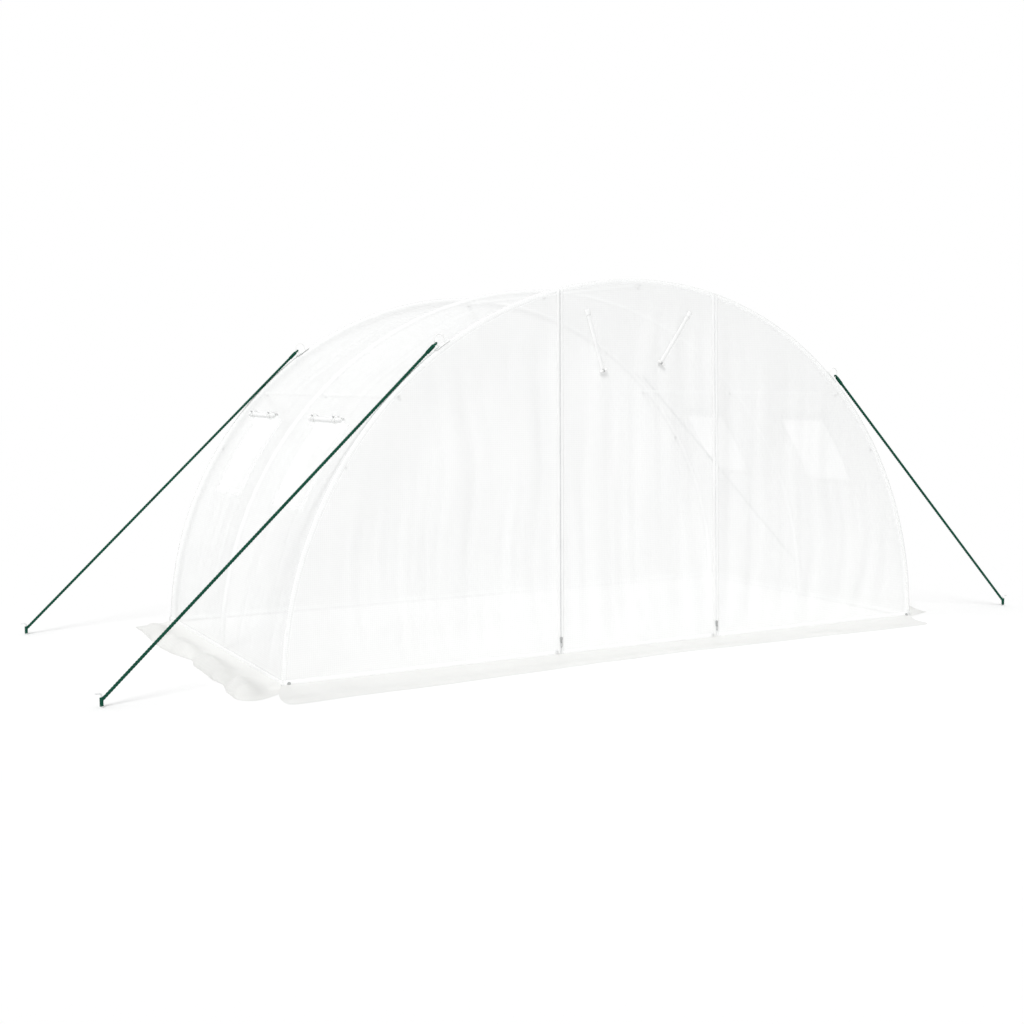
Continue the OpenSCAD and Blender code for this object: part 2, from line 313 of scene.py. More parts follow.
def circle(centre, radius, first, second, count):
    """Points at a radius round a centre: cosine times the first direction plus sine times the second."""
    turn = full_turn(count)
    return centre + radius * (np.cos(turn) * first + np.sin(turn) * second)


print("grid helpers ready")

# %% Grids and sweeps
def grid_shape(points, flat_map=None, keep=None, around=False, ring=False):
    """Joins a grid of points into quads, with the view from the front as its map if none is given. Cells that
    keep marks false stay open. Around joins the last column to the first, ring the last row to the first."""
    flat_map = points[..., ::2] if flat_map is None else flat_map
    rows, columns = points.shape[:2]
    index = np.arange(rows * columns).reshape(rows, columns)
    if around:
        index = np.concatenate([index, index[:, :1]], axis=1)
    if ring:
        index = np.concatenate([index, index[:1]], axis=0)
    quads = np.stack([index[:-1, :-1], index[:-1, 1:], index[1:, 1:], index[1:, :-1]], axis=-1)
    quads = quads.reshape(-1, 4) if keep is None else quads[keep]
    used, packed = np.unique(quads, return_inverse=True)
    return points.reshape(-1, 3)[used], packed.reshape(-1, 4), flat_map.reshape(-1, 2)[used]


def swept_shape(path, across, profile, ring=False):
    """Carries a closed profile along a path, or round a ring. Its first number goes along the side, which is
    square to the path and to the direction across, and its second along across, made square to the path."""
    ahead = np.roll(path, -1, axis=0) - np.roll(path, 1, axis=0) if ring else np.gradient(path, axis=0)
    tangent = unit(ahead)
    side = unit(np.cross(tangent, np.broadcast_to(across, path.shape)))
    upward = np.cross(side, tangent)
    points = path[:, None] + side[:, None] * profile[..., :1] + upward[:, None] * profile[..., 1:]
    turn = np.linspace(0, 1, points.shape[1], endpoint=False)
    return grid_shape(points, paired(run_along(path)[:, None], turn), around=True, ring=ring)


print("grids and sweeps ready")

# %% Profiles and turned shapes
NO_AXIS = (0.31, 0.87, 0.38)


def ring_profile(radius, sides):
    """A round profile of the given radius."""
    return circle(0.0, radius, np.array([1, 0]), np.array([0, 1]), sides)


def slab_profile(width, thickness, corner=0.3):
    """A flat profile with bevelled corners, for straps: eight points, wide along the second number."""
    w, t, c = width / 2, thickness / 2, corner * thickness
    return np.array([[t, -w + c], [t, w - c], [t - c, w], [-t + c, w],
                     [-t, w - c], [-t, -w + c], [-t + c, -w], [t - c, -w]])


def turned_shape(profile, centre, axis, sides):
    """Turns a profile of (radius, height) points about an axis through the centre. The first spoke is square
    to the axis and to a direction that no axis here has."""
    profile, axis = np.asarray(profile, float), unit(np.asarray(axis, float))
    start = unit(np.cross(axis, NO_AXIS))
    spokes = circle(0.0, 1.0, start, np.cross(axis, start), sides)
    points = centre + profile[:, :1, None] * spokes + profile[:, 1:, None] * axis
    return grid_shape(points, paired(profile[:, 1:], full_turn(sides)[:, 0]), around=True)


def joined(shapes):
    """Several shapes as one."""
    counts = np.cumsum([0] + [len(points) for points, _, _ in shapes])
    return (np.concatenate([points for points, _, _ in shapes]),
            np.concatenate([quads + start for (_, quads, _), start in zip(shapes, counts)]),
            np.concatenate([flat_map for _, _, flat_map in shapes]))


print("shape helpers ready")

# %% [markdown]
# ## From a shape to a piece
# A piece sits at the origin with its place in its mesh, like the CAD nodes, so a pattern on it stays put. It
# rides on the part's one body, takes the finish it is given, and may stand for CAD nodes.

# %% Make a piece
MERGE_WITHIN = 1e-6


def make_piece(name, shape, finish, stands_for=(),
               closed=False, thickness=0.0, merge=False, shade=True):
    """Puts a shape into a mesh object. Merge joins points that meet, a closed shape gets its ends filled and
    its normals turned outwards, and a thickness makes a strip solid on its outer side."""
    points, quads, flat_map = shape
    mesh = bpy.data.meshes.new(name)
    mesh.from_pydata(points.tolist(), [], quads.tolist())
    mesh.uv_layers.new(name="cut").data.foreach_set("uv", flat_map[quads.ravel()].ravel())
    work = bmesh.new()
    work.from_mesh(mesh)
    if merge:
        bmesh.ops.remove_doubles(work, verts=work.verts, dist=MERGE_WITHIN)
    if closed:
        bmesh.ops.holes_fill(work, edges=[e for e in work.edges if e.is_boundary], sides=0)
        bmesh.ops.recalc_face_normals(work, faces=work.faces)
    work.to_mesh(mesh)
    work.free()
    mesh.polygons.foreach_set("use_smooth", np.ones(len(mesh.polygons), bool))
    mesh.materials.append(finish)
    piece = bpy.data.objects.new(name, mesh)
    scene.collection.objects.link(piece)
    if thickness:
        solid = piece.modifiers.new("thickness", "SOLIDIFY")
        solid.thickness = thickness
        solid.offset = 1.0
    piece.visible_shadow = shade
    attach(piece, "root")
    if stands_for:
        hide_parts(*stands_for)
    print(f"{name}: {len(mesh.vertices)} points, {len(mesh.polygons)} faces")
    return piece


print("piece maker ready")

# %% [markdown]
# ## The film
# The cover is a milky polyethylene film with a net of threads inside it. Glass or a transmission shader would
# bend and blur what stands behind, which thin film doesn't do, and alpha alone lets the hoops show through as
# in the photograph. The threads are paler and less clear than the film between them, and small creases
# catch the light. A pair of colours is the clean film and the dusty film. On the skirts the darker colours are
# partly painted shade, and the inner face of the film is painted darker as shade.

# %% Film finish
THREAD_PITCH = 0.0105
THREAD_WIDTH = 0.0016
THREAD_RELIEF = 0.15
THREAD_EDGE = 0.3
HAZE_SPREAD = 0.06
CLOUD_RANGE = (0.35, 0.7)
CREASE_SCALE = (26.0, 26.0, 7.0)
CREASE_DEPTH = 0.0012
FILM_ROUGHNESS = (0.34, 0.5)
# Painted shade on the side skirts: lighter next to the wall, ramping to the darker colour over these distances.
WALL_SHADE_RAMP = (0.03, 0.15)
LOWEST_DUST_AND_SHADE = 0.45


def thread_grid(tree, pitch, width):
    """One on two sets of crossing lines of the flat map, nought between them."""
    axes = add_node(tree, "ShaderNodeSeparateXYZ", None, {0: flat_coordinates(tree)})
    half = width / pitch / 2
    lines = []
    for axis in ("X", "Y"):
        wrapped = maths(tree, "FRACT", maths(tree, "MULTIPLY", axes.outputs[axis], 1 / pitch))
        from_middle = maths(tree, "ABSOLUTE", maths(tree, "SUBTRACT", wrapped, 0.5))
        lines.append(ramp(tree, from_middle, 0.5 - (1 + THREAD_EDGE) * half, 0.5 - (1 - THREAD_EDGE) * half))
    return maths(tree, "MAXIMUM", *lines)


def film_finish(name, colours, haze, thread_haze, inside=1.0, dust_scale=2.2, shade_away_from_wall=False):
    """Milky film: haze is how much of what lies behind it covers, and threads cover more. Inside is how much
    of the colour is left on the inner face, a painted shade that makes the inner face darker than the outer
    one.
    When asked, film on the ground is painted lighter next to the side walls and darker further out: painted
    shade, with cloudy dust over it."""
    material, tree, shader = new_finish(name, specular_ior_level=0.35)
    place = object_coordinates(tree)
    cloud = ramp(tree, noise(tree, place, dust_scale, detail=5.0), *CLOUD_RANGE)
    # Painted shade: the colour is lighter next to the wall and darker further out, with the cloudy dust kept
    # over it.
    if shade_away_from_wall:
        across = add_node(tree, "ShaderNodeSeparateXYZ", None, {0: place}).outputs["X"]
        from_wall = maths(tree, "SUBTRACT", maths(tree, "ABSOLUTE", across), foot_x)
        dust = ramp(tree, cloud, 0, 1, LOWEST_DUST_AND_SHADE, 1.0)
        cloud = maths(tree, "MULTIPLY", dust, ramp(tree, from_wall, *WALL_SHADE_RAMP))
    crease = noise(tree, stretched(tree, place, CREASE_SCALE), scale=1.0, detail=3.0)
    threads = thread_grid(tree, THREAD_PITCH, THREAD_WIDTH)
    outer = blend_colours(tree, cloud, *colours)
    # The inner face gets a darker copy of the clean colour: painted shade.
    inner = tuple(inside * value for value in colours[0])
    milky = plus_share(tree, haze, cloud, HAZE_SPREAD)
    feed(tree, shader, base_color=blend_colours(tree, back_faces(tree), outer, inner),
         alpha=plus_share(tree, milky, threads, thread_haze - haze),
         roughness=ramp(tree, cloud, 0, 1, *FILM_ROUGHNESS))
    bump(tree, shader, plus_share(tree, crease, threads, THREAD_RELIEF), CREASE_DEPTH, strength=0.5)
    return material


print(f"threads every {THREAD_PITCH * 1000:.1f} mm")

# %% Film colours
PALE = ((0.952, 0.956, 0.953), (0.916, 0.922, 0.919))
WHITE = ((0.975, 0.980, 0.977), (0.940, 0.946, 0.942))
# The skirt colours are darker than the cover's: partly dust and earth on film lying on the ground, partly
# painted shade for the folds and layers of the crumpled skirts.
EARTH_AND_SHADE = ((0.880, 0.882, 0.868), (0.810, 0.812, 0.798))
CRUMPLED_DUST_AND_SHADE = ((0.930, 0.932, 0.914), (0.775, 0.778, 0.760))
# Inside below one paints the inner face of cover and gables darker: painted shade.
cover_finish = film_finish("cover_film", PALE, haze=0.66, thread_haze=0.71, inside=0.94)
gable_finish = film_finish("gable_film", PALE, haze=0.74, thread_haze=0.79, inside=0.96)
hem_finish = film_finish("doubled_film", WHITE, haze=0.42, thread_haze=0.50)
welt_finish = film_finish("welt_film", WHITE, haze=0.92, thread_haze=0.96)
rolled_finish = film_finish("rolled_film", WHITE, haze=0.45, thread_haze=0.53)
skirt_finish = film_finish("ground_film", EARTH_AND_SHADE, haze=0.92, thread_haze=0.96, dust_scale=5.0)
crumpled_finish = film_finish("crumpled_film", CRUMPLED_DUST_AND_SHADE, haze=0.92, thread_haze=0.96, dust_scale=6.0,
                              shade_away_from_wall=True)
print("film finishes ready")

# %% [markdown]
# ## The cover over the hoops
# On the real tunnel one long sheet runs from the ground over the three hoops to the ground again. Cloth
# simulation could hang it, but film that is pulled taut over tubes has a simple shape: it touches each hoop,
# dips in between, and is held up a little where a purlin runs under it. That is one radius for each place on
# the arch, so the whole sheet, its nets and its window edges come from the same function.

# %% Shape of the cover
SAG = 0.034
SAG_FROM_GROUND = 0.45
PURLIN_ANGLES = np.radians([45, 90, 135])
PURLIN_HOLD = 0.5
PURLIN_REACH = 0.09
RIPPLE = 0.0036
LONG_RIPPLES = (0.62, 0.062)
SHORT_RIPPLES = (0.2, 0.03)
SHORT_SHARE = 0.4
RIPPLE_FROM_GROUND = 0.15
PUCKER = 0.006
PUCKER_REACH = 0.16
PUCKER_START = 0.05
PUCKER_RAYS = 9
TINY = 1e-6
TAB_ANGLES = {"left": np.radians(125), "right": np.radians(48)}


def on_arch(angle, radius, y):
    """The point at an angle and a radius about the arch's centre line, at a place along the tunnel."""
    return paired(radius * np.cos(angle), y, arch_z + radius * np.sin(angle))


def cover_radius(angle, y):
    """The film's radius, less a sag that is a parabola from hoop to hoop and fades to the ground and over
    the purlins, plus long ripples down the arch and star-shaped puckers at the four rope tabs."""
    arc = angle * film_r
    from_ground = np.minimum(angle, np.pi - angle) * film_r
    from_middle = np.abs(np.abs(y) - hoop_y / 2) / (hoop_y / 2)
    slack = np.clip(1 - from_middle ** 2, 0, 1)
    depth = SAG * smooth(from_ground / SAG_FROM_GROUND)
    for purlin in PURLIN_ANGLES:
        depth = depth * (1 - PURLIN_HOLD * bell(angle - purlin, PURLIN_REACH))
    ripple = soft_noise(arc, y, LONG_RIPPLES, 3) + SHORT_SHARE * soft_noise(arc, y, SHORT_RIPPLES, 4)
    waves = RIPPLE * ripple * smooth(from_ground / RIPPLE_FROM_GROUND)
    for tab in TAB_ANGLES.values():
        for end in ENDS.values():
            along, inward = (angle - tab) * film_r, hoop_y - y * end
            fade = np.exp(-np.hypot(along, inward) / PUCKER_REACH) * smooth(inward / PUCKER_START)
            waves = waves + PUCKER * fade * np.cos(PUCKER_RAYS * np.arctan2(along, inward + TINY))
    return film_r - depth * slack + waves * np.sqrt(slack)


print(f"cover sags up to {SAG * 1000:.0f} mm between the hoops")

# %% Read the windows
def window_of(side, end):
    """The lowest and highest angle of a window, and where it starts and ends along the tunnel."""
    low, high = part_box(f"{end}_{side}_net")
    inner, outer = sorted((abs(low.x), abs(high.x)))
    angles = np.arctan2([low.z - arch_z, high.z - arch_z], [outer, inner])
    return (*(angles if side == "right" else np.pi - angles[::-1]), low.y, high.y)


windows = {(side, end): window_of(side, end) for side in SIDES for end in ENDS}

# %% Cut the cover
COVER_STEP = 0.022
angle_breaks = [foot_angle, *windows["right", "rear"][:2], *windows["left", "rear"][:2], np.pi - foot_angle]
y_breaks = [-gable_y, -hoop_y, *windows["right", "front"][2:], 0, *windows["right", "rear"][2:],
            hoop_y, gable_y]
cover_angles = stations(angle_breaks, COVER_STEP / film_r)[:, None]
cover_ys = stations(y_breaks, COVER_STEP)
mid_angle = (cover_angles[:-1] + cover_angles[1:]) / 2
mid_y = (cover_ys[:-1] + cover_ys[1:]) / 2
film_cells = np.ones((mid_angle.size, mid_y.size), bool)
for low, high, start, stop in windows.values():
    film_cells &= ~((mid_angle > low) & (mid_angle < high) & (mid_y > start) & (mid_y < stop))
cover_points = on_arch(cover_angles, cover_radius(cover_angles, cover_ys), cover_ys)
cover_shape = grid_shape(cover_points, paired(cover_angles * film_r, cover_ys), film_cells)
cover_nodes = [f"{end}_{part}" for end in ENDS for part in ("left_wall", "roof", "right_wall")]
cover = make_piece("cover_film", cover_shape, cover_finish, cover_nodes, shade=False)

# %% [markdown]
# ## Window nets and their edges
# A fine net fills each window and keeps insects out. Its threads are far too many to model, so the finish
# opens the holes between them with alpha. Round the edge the film is doubled to a hem: a frame that follows
# the cover, made from an inner and an outer rectangle with mitred corners.

# %% Net and tape finishes
NET_PITCH = 0.0040
NET_THREAD = 0.0022
NET_COVER = (0.04, 0.92)
NET_FROM_INSIDE = 0.3
NET_WHITE = ((0.985, 0.988, 0.985), (0.965, 0.968, 0.965))


def net_finish():
    """White threads with clear holes between them. Seen from inside, against the light, it is more open."""
    material, tree, shader = new_finish("insect_net", roughness=0.7)
    dense = ramp(tree, thread_grid(tree, NET_PITCH, NET_THREAD), 0, 1, *NET_COVER)
    shade = noise(tree, object_coordinates(tree), scale=40.0)
    feed(tree, shader, base_color=blend_colours(tree, shade, *NET_WHITE),
         alpha=maths(tree, "MULTIPLY", dense, ramp(tree, back_faces(tree), 0, 1, 1.0, NET_FROM_INSIDE)))
    return material


def tape_finish(name, colour, shaded, rib=0.0022):
    """Woven tape: fine ribs across it, with painted shade between the ribs and a little dust in the weave."""
    material, tree, shader = new_finish(name, roughness=0.62, specular_ior_level=0.3)
    ribs = thread_grid(tree, rib, rib * 0.5)
    dust = ramp(tree, noise(tree, object_coordinates(tree), scale=9.0, detail=5.0), low=0.4, high=0.75)
    # Between the ribs the colour is painted darker: painted shade; the noise adds a little dust.
    share = maths(tree, "MULTIPLY", maths(tree, "ADD", maths(tree, "SUBTRACT", 1.0, ribs), dust), 0.5)
    feed(tree, shader, base_color=blend_colours(tree, share, colour, shaded))
    bump(tree, shader, ribs, distance=0.0004, strength=0.6)
    return material


net_material = net_finish()
tape_material = tape_finish("sewn_tape", (0.95, 0.955, 0.95), (0.87, 0.88, 0.875))
loop_material = tape_finish("elastic_loop", (0.50, 0.505, 0.505), (0.38, 0.385, 0.385), rib=0.0014)
print("net and tape finishes ready")

# %% Nets and window hems
NET_STEP = 0.03
NET_BELLY = 0.006
NET_UNDER = 0.0006
HEM_OVER = 0.0004
HEM_IN = 0.008
HEM_OUT = 0.024
HEM_POINTS = 28


def net_shape(low, high, start, stop):
    """The cover's radius inside a window, a hair further in and with a slight belly."""
    angle = stations([low, high], NET_STEP / film_r)[:, None]
    y = stations([start, stop], NET_STEP)
    belly = np.sin(np.pi * (angle - low) / (high - low)) * np.sin(np.pi * (y - start) / (stop - start))
    points = on_arch(angle, cover_radius(angle, y) - NET_UNDER - NET_BELLY * belly, y)
    return grid_shape(points, paired(angle * film_r, y))


def window_hem(low, high, start, stop):
    """A frame on the cover: the line round a square, scaled to half the window's size and grown in four steps
    from just inside the edge to just outside it."""
    corner = np.array([[-1, -1], [1, -1], [1, 1], [-1, 1], [-1, -1]], float)
    along = np.linspace(0, 4, 4 * HEM_POINTS + 1)
    line = paired(*(np.interp(along, range(5), corner[:, k]) for k in (0, 1)))
    half = np.array([(high - low) * film_r, stop - start]) / 2
    centre = np.array([(high + low) * film_r, stop + start]) / 2
    grow = np.linspace(-HEM_IN, HEM_OUT, 4)[:, None]
    flat = centre + line * (half + grow[..., None])
    angle, y = flat[..., 0] / film_r, flat[..., 1]
    points = on_arch(angle, cover_radius(angle, y) + HEM_OVER, y)
    return grid_shape(points, paired(along * half.mean() * 2, grow))


for (side, end), window in windows.items():
    net_name = f"{end}_{side}_window_net"
    net = make_piece(net_name, net_shape(*window), net_material, [f"{end}_{side}_net"])
    make_piece(f"{end}_{side}_window_hem", window_hem(*window), hem_finish, merge=True, shade=False)

# %% [markdown]
# ## Rolled window flaps
# Over each window its film flap is rolled up and tied with two bands. Seen from the end the roll is a
# spiral: the distance from its middle grows evenly as it turns. The last turn runs out flat to the seam over
# the window. A cylinder would hide that it is film, so the spiral itself is carried along the roll.

# %% Flap rolls
ROLL_CORE = 0.0045
ROLL_TURNS = 6
ROLL_STEP = 0.018
TURN_POINTS = 22
ROLL_INSET = 0.002
ROLL_CRUMPLE = (1 / 5.4, 0.07)
ROLL_SLACK = 0.06
ROLL_SAG = 0.004
TAIL = np.linspace(0.006, 0.034, 4)
TAIL_PROUD = 0.0015
CORE_OUT = 0.006
CORE_ZONE = 0.02


def flap_axes(side, end):
    """The middle of a rolled flap, its outward and upward directions, its radius and length, and how far its
    middle lies over the cover."""
    low, high = (np.array(v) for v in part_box(f"{end}_{side}_flap"))
    centre = (low + high) / 2
    arm = np.array([centre[0], 0, centre[2] - arch_z])
    outward = unit(arm)
    upward = np.cross(ALONG, outward) * -SIDES[side]
    gap = np.linalg.norm(arm) - film_r - film_t / 2
    return centre, outward, upward, (high[2] - low[2]) / 2, high[1] - low[1], gap


def flap_shape(side, end, seed):
    """A spiral whose radius grows evenly from its core to its outer turn, then a flat tail down to the seam,
    all along the roll. Noise loosens the turns, the roll sags as a half cosine, and its core stands out at
    both ends."""
    centre, outward, upward, radius, length, gap = flap_axes(side, end)
    radius -= ROLL_INSET
    turn = np.linspace(np.pi - 2 * np.pi * ROLL_TURNS, np.pi, ROLL_TURNS * TURN_POINTS + 1)
    grow = np.linspace(0, 1, turn.size)
    ray = ROLL_CORE + (radius - ROLL_CORE) * grow
    tail_out = np.interp(TAIL, [0, TAIL[-1]], [-radius, TAIL_PROUD - gap])
    out_way = np.concatenate([ray * np.cos(turn), tail_out])[:, None]
    up_way = np.concatenate([ray * np.sin(turn), -TAIL])[:, None]
    share = np.concatenate([grow, np.ones(TAIL.size)])[:, None]
    loose = share < 1
    y = stations([-length / 2, length / 2], ROLL_STEP)
    crumple = soft_noise(np.linspace(0, 1, share.size)[:, None], y, ROLL_CRUMPLE, seed)
    slack = np.where(loose, 1 + ROLL_SLACK * crumple, 1.0)
    sag = -ROLL_SAG * np.cos(np.pi * y / length) * loose
    points = centre + (out_way * slack)[..., None] * outward + (up_way * slack + sag)[..., None] * upward
    at_end = np.sign(y) * (np.abs(y) > length / 2 - CORE_ZONE)
    points[..., 1] = centre[1] + y + CORE_OUT * (1 - share) * at_end
    run = run_along(np.hstack([out_way, up_way]))
    return grid_shape(points, paired(run[:, None], y)), run[-1], length


print(f"{ROLL_TURNS} turns in each roll")

# %% Bands and toggles
BAND_W = 0.020
BAND_T = 0.0016
BAND_INSET = 0.070
BAND_SNUG = 1.02
BAND_POINTS = 40
TOGGLE_R = 0.0055
TOGGLE_LEN = 0.030
TOGGLE_WAIST = 0.85
LOOP_W = 0.009
LOOP_T = 0.0014
BARREL_POINTS = 17
BARREL_SIDES = 18
WAIST_DEPTH = 0.30
WAIST_WIDTH = 0.22


def barrel_shape(centre, axis, radius, length):
    """A turned toggle: a swelling on each side, a waist for the loop, and ends rounded as √(1 - t⁶)."""
    along = np.linspace(-1, 1, BARREL_POINTS)
    swell = np.sqrt(np.clip(1 - along ** 6, 0, 1)) * (1 - WAIST_DEPTH * bell(along, WAIST_WIDTH))
    return turned_shape(paired(radius * swell, along * length / 2), centre, axis, BARREL_SIDES)


def band_shapes(side, end):
    """Each band is a flat profile carried round the roll, with a barrel toggle on its outer side and an
    elastic loop round the toggle's waist."""
    centre, outward, upward, radius, length, _ = flap_axes(side, end)
    bands, loops = [], []
    for place in (-1, 1):
        middle = centre + place * (length / 2 - BAND_INSET) * ALONG
        path = circle(middle, BAND_SNUG * radius, outward, upward, BAND_POINTS)
        bands.append(swept_shape(path, ALONG, slab_profile(BAND_W, BAND_T), ring=True))
        spot = middle + (radius + TOGGLE_R) * outward
        bands.append(barrel_shape(spot, upward, TOGGLE_R, TOGGLE_LEN))
        waist = circle(spot, TOGGLE_WAIST * TOGGLE_R, outward, ALONG, BAND_POINTS)
        loops.append(swept_shape(waist, upward, slab_profile(LOOP_W, LOOP_T), ring=True))
    return joined(bands), joined(loops)


for seed, (side, end) in enumerate(windows, start=20):
    shape, run, length = flap_shape(side, end, seed)
    flap_name = f"{end}_{side}_rolled_flap"
    flap = make_piece(flap_name, shape, rolled_finish, [f"{end}_{side}_flap"], shade=False)
    bands, loops = band_shapes(side, end)
    make_piece(f"{end}_{side}_flap_bands", bands, tape_material, closed=True, merge=True, shade=False)
    make_piece(f"{end}_{side}_flap_loops", loops, loop_material, closed=True)

# %% [markdown]
# ## The gables
# The end walls hang from the end hoops. The front one is cut in three by the door zips. Film that hangs in an
# arch falls in long upright folds that fade towards the hoop, the rail and the zips, where it is held. The
# sheet is a grid of columns that end at the arch, pushed inwards by those folds. The door hangs a little
# askew, so its columns lean with the zips.

# %% Sizes of the gables
GABLE_STEP = 0.021
GABLE_EDGE = 0.003
GABLE_UNDER = 0.0012
GABLE_BELLY = 0.010
GABLE_FOLD = 0.0065
GABLE_DENT = 0.003
BROAD_FOLDS = (0.085, 1.2)
NARROW_FOLDS = (0.034, 0.6)
NARROW_SHARE = 0.45
DENTS = (0.22, 0.3)
WANDER = 0.05
WANDER_SPACING = (0.5, 0.5)
HELD_BY_HOOP = (0.02, 0.32)
HELD_BY_RAIL = 0.22
HELD_BY_ZIP = 0.06
ZIP_HOLD = 0.9
ZIP_LEAN = {"left": (0.024, 0.010), "right": (0.036, -0.010)}
zip_low, zip_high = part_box("right_zip")
ZIP_X = (zip_low.x + zip_high.x) / 2
ZIP_W = zip_high.x - zip_low.x
edge_x = foot_x - GABLE_EDGE
print(f"zips at x = ±{ZIP_X:.3f}, {ZIP_W:.3f} m wide")

# %% How a gable hangs
def arch_height(x, radius):
    """The height of the arch of that radius over a place across the span."""
    return arch_z + np.sqrt(np.maximum(radius ** 2 - np.asarray(x) ** 2, 0))


def zip_lean(side, share):
    """How far a zip hangs to the right: from one value at the ground to another at the arch."""
    low, high = ZIP_LEAN[side]
    return low + (high - low) * share


def door_lean(x, share):
    """The zips' lean, shared out in straight lines from zip to zip and from each zip to the gable's edge."""
    places = [-edge_x, -ZIP_X, ZIP_X, edge_x]
    return (np.interp(x, places, [0, 1, 0, 0]) * zip_lean("left", share)
            + np.interp(x, places, [0, 0, 1, 0]) * zip_lean("right", share))


def gable_depth(x, z, seed, zips):
    """How far the film hangs inwards: nothing at hoop, rail and zips, with upright folds between them."""
    from_hoop = film_r - np.hypot(x, z - arch_z)
    free = smooth((from_hoop - HELD_BY_HOOP[0]) / HELD_BY_HOOP[1]) * smooth(z / HELD_BY_RAIL)
    for place in zips:
        free = free * (1 - ZIP_HOLD * bell(x - place, HELD_BY_ZIP))
    lean = x + WANDER * soft_noise(z, x, WANDER_SPACING, seed)
    folds = soft_noise(lean, z, BROAD_FOLDS, seed + 1)
    folds = folds + NARROW_SHARE * soft_noise(lean, z, NARROW_FOLDS, seed + 2)
    return free * (GABLE_BELLY + GABLE_FOLD * folds + GABLE_DENT * soft_noise(x, z, DENTS, seed + 3))


def gable_shape(x0, x1, end, seed, zips):
    """Columns from the ground to the arch, at the gable's plane less its depth."""
    x = stations([x0, x1], GABLE_STEP)[:, None]
    share = np.linspace(0, 1, round(rise / GABLE_STEP) + 1)
    hung_x = x + (door_lean(x, share) if zips else 0 * share)
    z = arch_height(hung_x, film_r - GABLE_UNDER) * share
    points = paired(hung_x, ENDS[end] * (gable_y - gable_depth(x, z, seed, zips)), z)
    return grid_shape(points[::ENDS[end]])


def gable_area(x0, x1):
    """The flat area of film between two places across the span."""
    return float(arch_height(np.linspace(x0, x1, 400), film_r).mean() * (x1 - x0))


print(f"a whole gable has {gable_area(-edge_x, edge_x):.2f} m² of film")

# %% Gable sheets
TAPE_LAP = 0.002
inner_x, outer_x = ZIP_X - ZIP_W / 2 + TAPE_LAP, ZIP_X + ZIP_W / 2 - TAPE_LAP
GABLE_CUTS = [("front_gable_film_left", -edge_x, -outer_x, "front", 40, "front_gable_left"),
              ("front_gable_film_right", outer_x, edge_x, "front", 50, "front_gable_right"),
              ("door_film", -inner_x, inner_x, "front", 60, "door_panel"),
              ("rear_gable_film", -edge_x, edge_x, "rear", 70, "rear_gable")]
for name, x0, x1, end, seed, node in GABLE_CUTS:
    zips = (-ZIP_X, ZIP_X) if end == "front" else ()
    sheet = make_piece(name, gable_shape(x0, x1, end, seed, zips), gable_finish, [node], shade=False)

# %% [markdown]
# ## Seams along the end hoops
# Cover and gable are welded together along the edge of each end hoop, where the film lies double. The seam is
# one profile, from the cover round the corner and a little way down the gable, carried along the arch.

# %% Arch seams
SEAM_DOWN = 0.024
SEAM_LIFT = 0.0012
SEAM_CORNER = 0.6 * SEAM_LIFT
SEAM_INSET = 0.004
SEAM_STEP = 0.02
SEAM_WANDER = 0.0012
SEAM_SPACING = (1 / 18, 1)


def seam_shape(end):
    """Across: over the cover, round the corner, down the gable. Along: the arch, with a slight wander of the
    inner edge, down to the ground."""
    angle = stations([foot_angle, np.pi - foot_angle], SEAM_STEP / film_r)[:, None]
    wander = SEAM_WANDER * soft_noise(angle, 0, SEAM_SPACING, 80 + ENDS[end])
    past_gable = [hoop_y - gable_y - SEAM_INSET, -SEAM_INSET, SEAM_CORNER, SEAM_LIFT, SEAM_LIFT]
    over_y = gable_y + np.array(past_gable)
    over_r = np.array([SEAM_LIFT, SEAM_LIFT, SEAM_CORNER, -SEAM_INSET, -SEAM_DOWN])
    points = on_arch(angle, film_r + over_r + wander * (over_r < -SEAM_INSET), ENDS[end] * over_y)
    points[..., 2] = np.maximum(points[..., 2], 0.0)
    flat_map = paired(angle * film_r, run_along(paired(over_y, over_r)))
    return grid_shape(points[:, ::ENDS[end]], flat_map[:, ::ENDS[end]])


for end in ENDS:
    make_piece(f"{end}_arch_seam", seam_shape(end), hem_finish, shade=False)

# %% [markdown]
# ## The welt along the ground
# At the ground the film is turned in round the base rails, and this welt shows as a white line between wall
# and skirt. It could be part of each sheet, but a bulged profile carried along the four sides keeps it crisp.
# At the door end it stops on both sides of each zip.

# %% Ground welts
WELT_H = 0.032
WELT_BULGE = 0.0068
WELT_BACK = 0.0022
WELT_LIFT = 0.0008
WELT_STEP = 0.03
WELT_GAP = 0.001
WELT_ARC = (0.06, 0.9)
WELT_FULLNESS = 0.8
WELT_POINTS = 8


def welt_profile():
    """Outwards and upwards: a flat back, and a front that bulges over the rail as most of a half sine, made
    fuller by a power under one."""
    up = np.linspace(0.0, 1.0, WELT_POINTS)
    bulge = WELT_BULGE * np.sin(np.pi * (WELT_ARC[0] + WELT_ARC[1] * up)) ** WELT_FULLNESS
    front = paired(bulge + WELT_LIFT, WELT_H * up + WELT_LIFT)
    back = np.array([[-WELT_BACK, WELT_LIFT + WELT_H], [-WELT_BACK, WELT_LIFT]])
    return np.concatenate([front, back])


def welt_shape(start, stop):
    """The profile from start to stop. Seen from above, the runs go round the tunnel against the clock."""
    start, stop = (np.array([*place, 0.0]) for place in (start, stop))
    share = stations([0, 1], WELT_STEP / np.linalg.norm(stop - start))[:, None]
    return swept_shape(start + (stop - start) * share, UP, welt_profile())


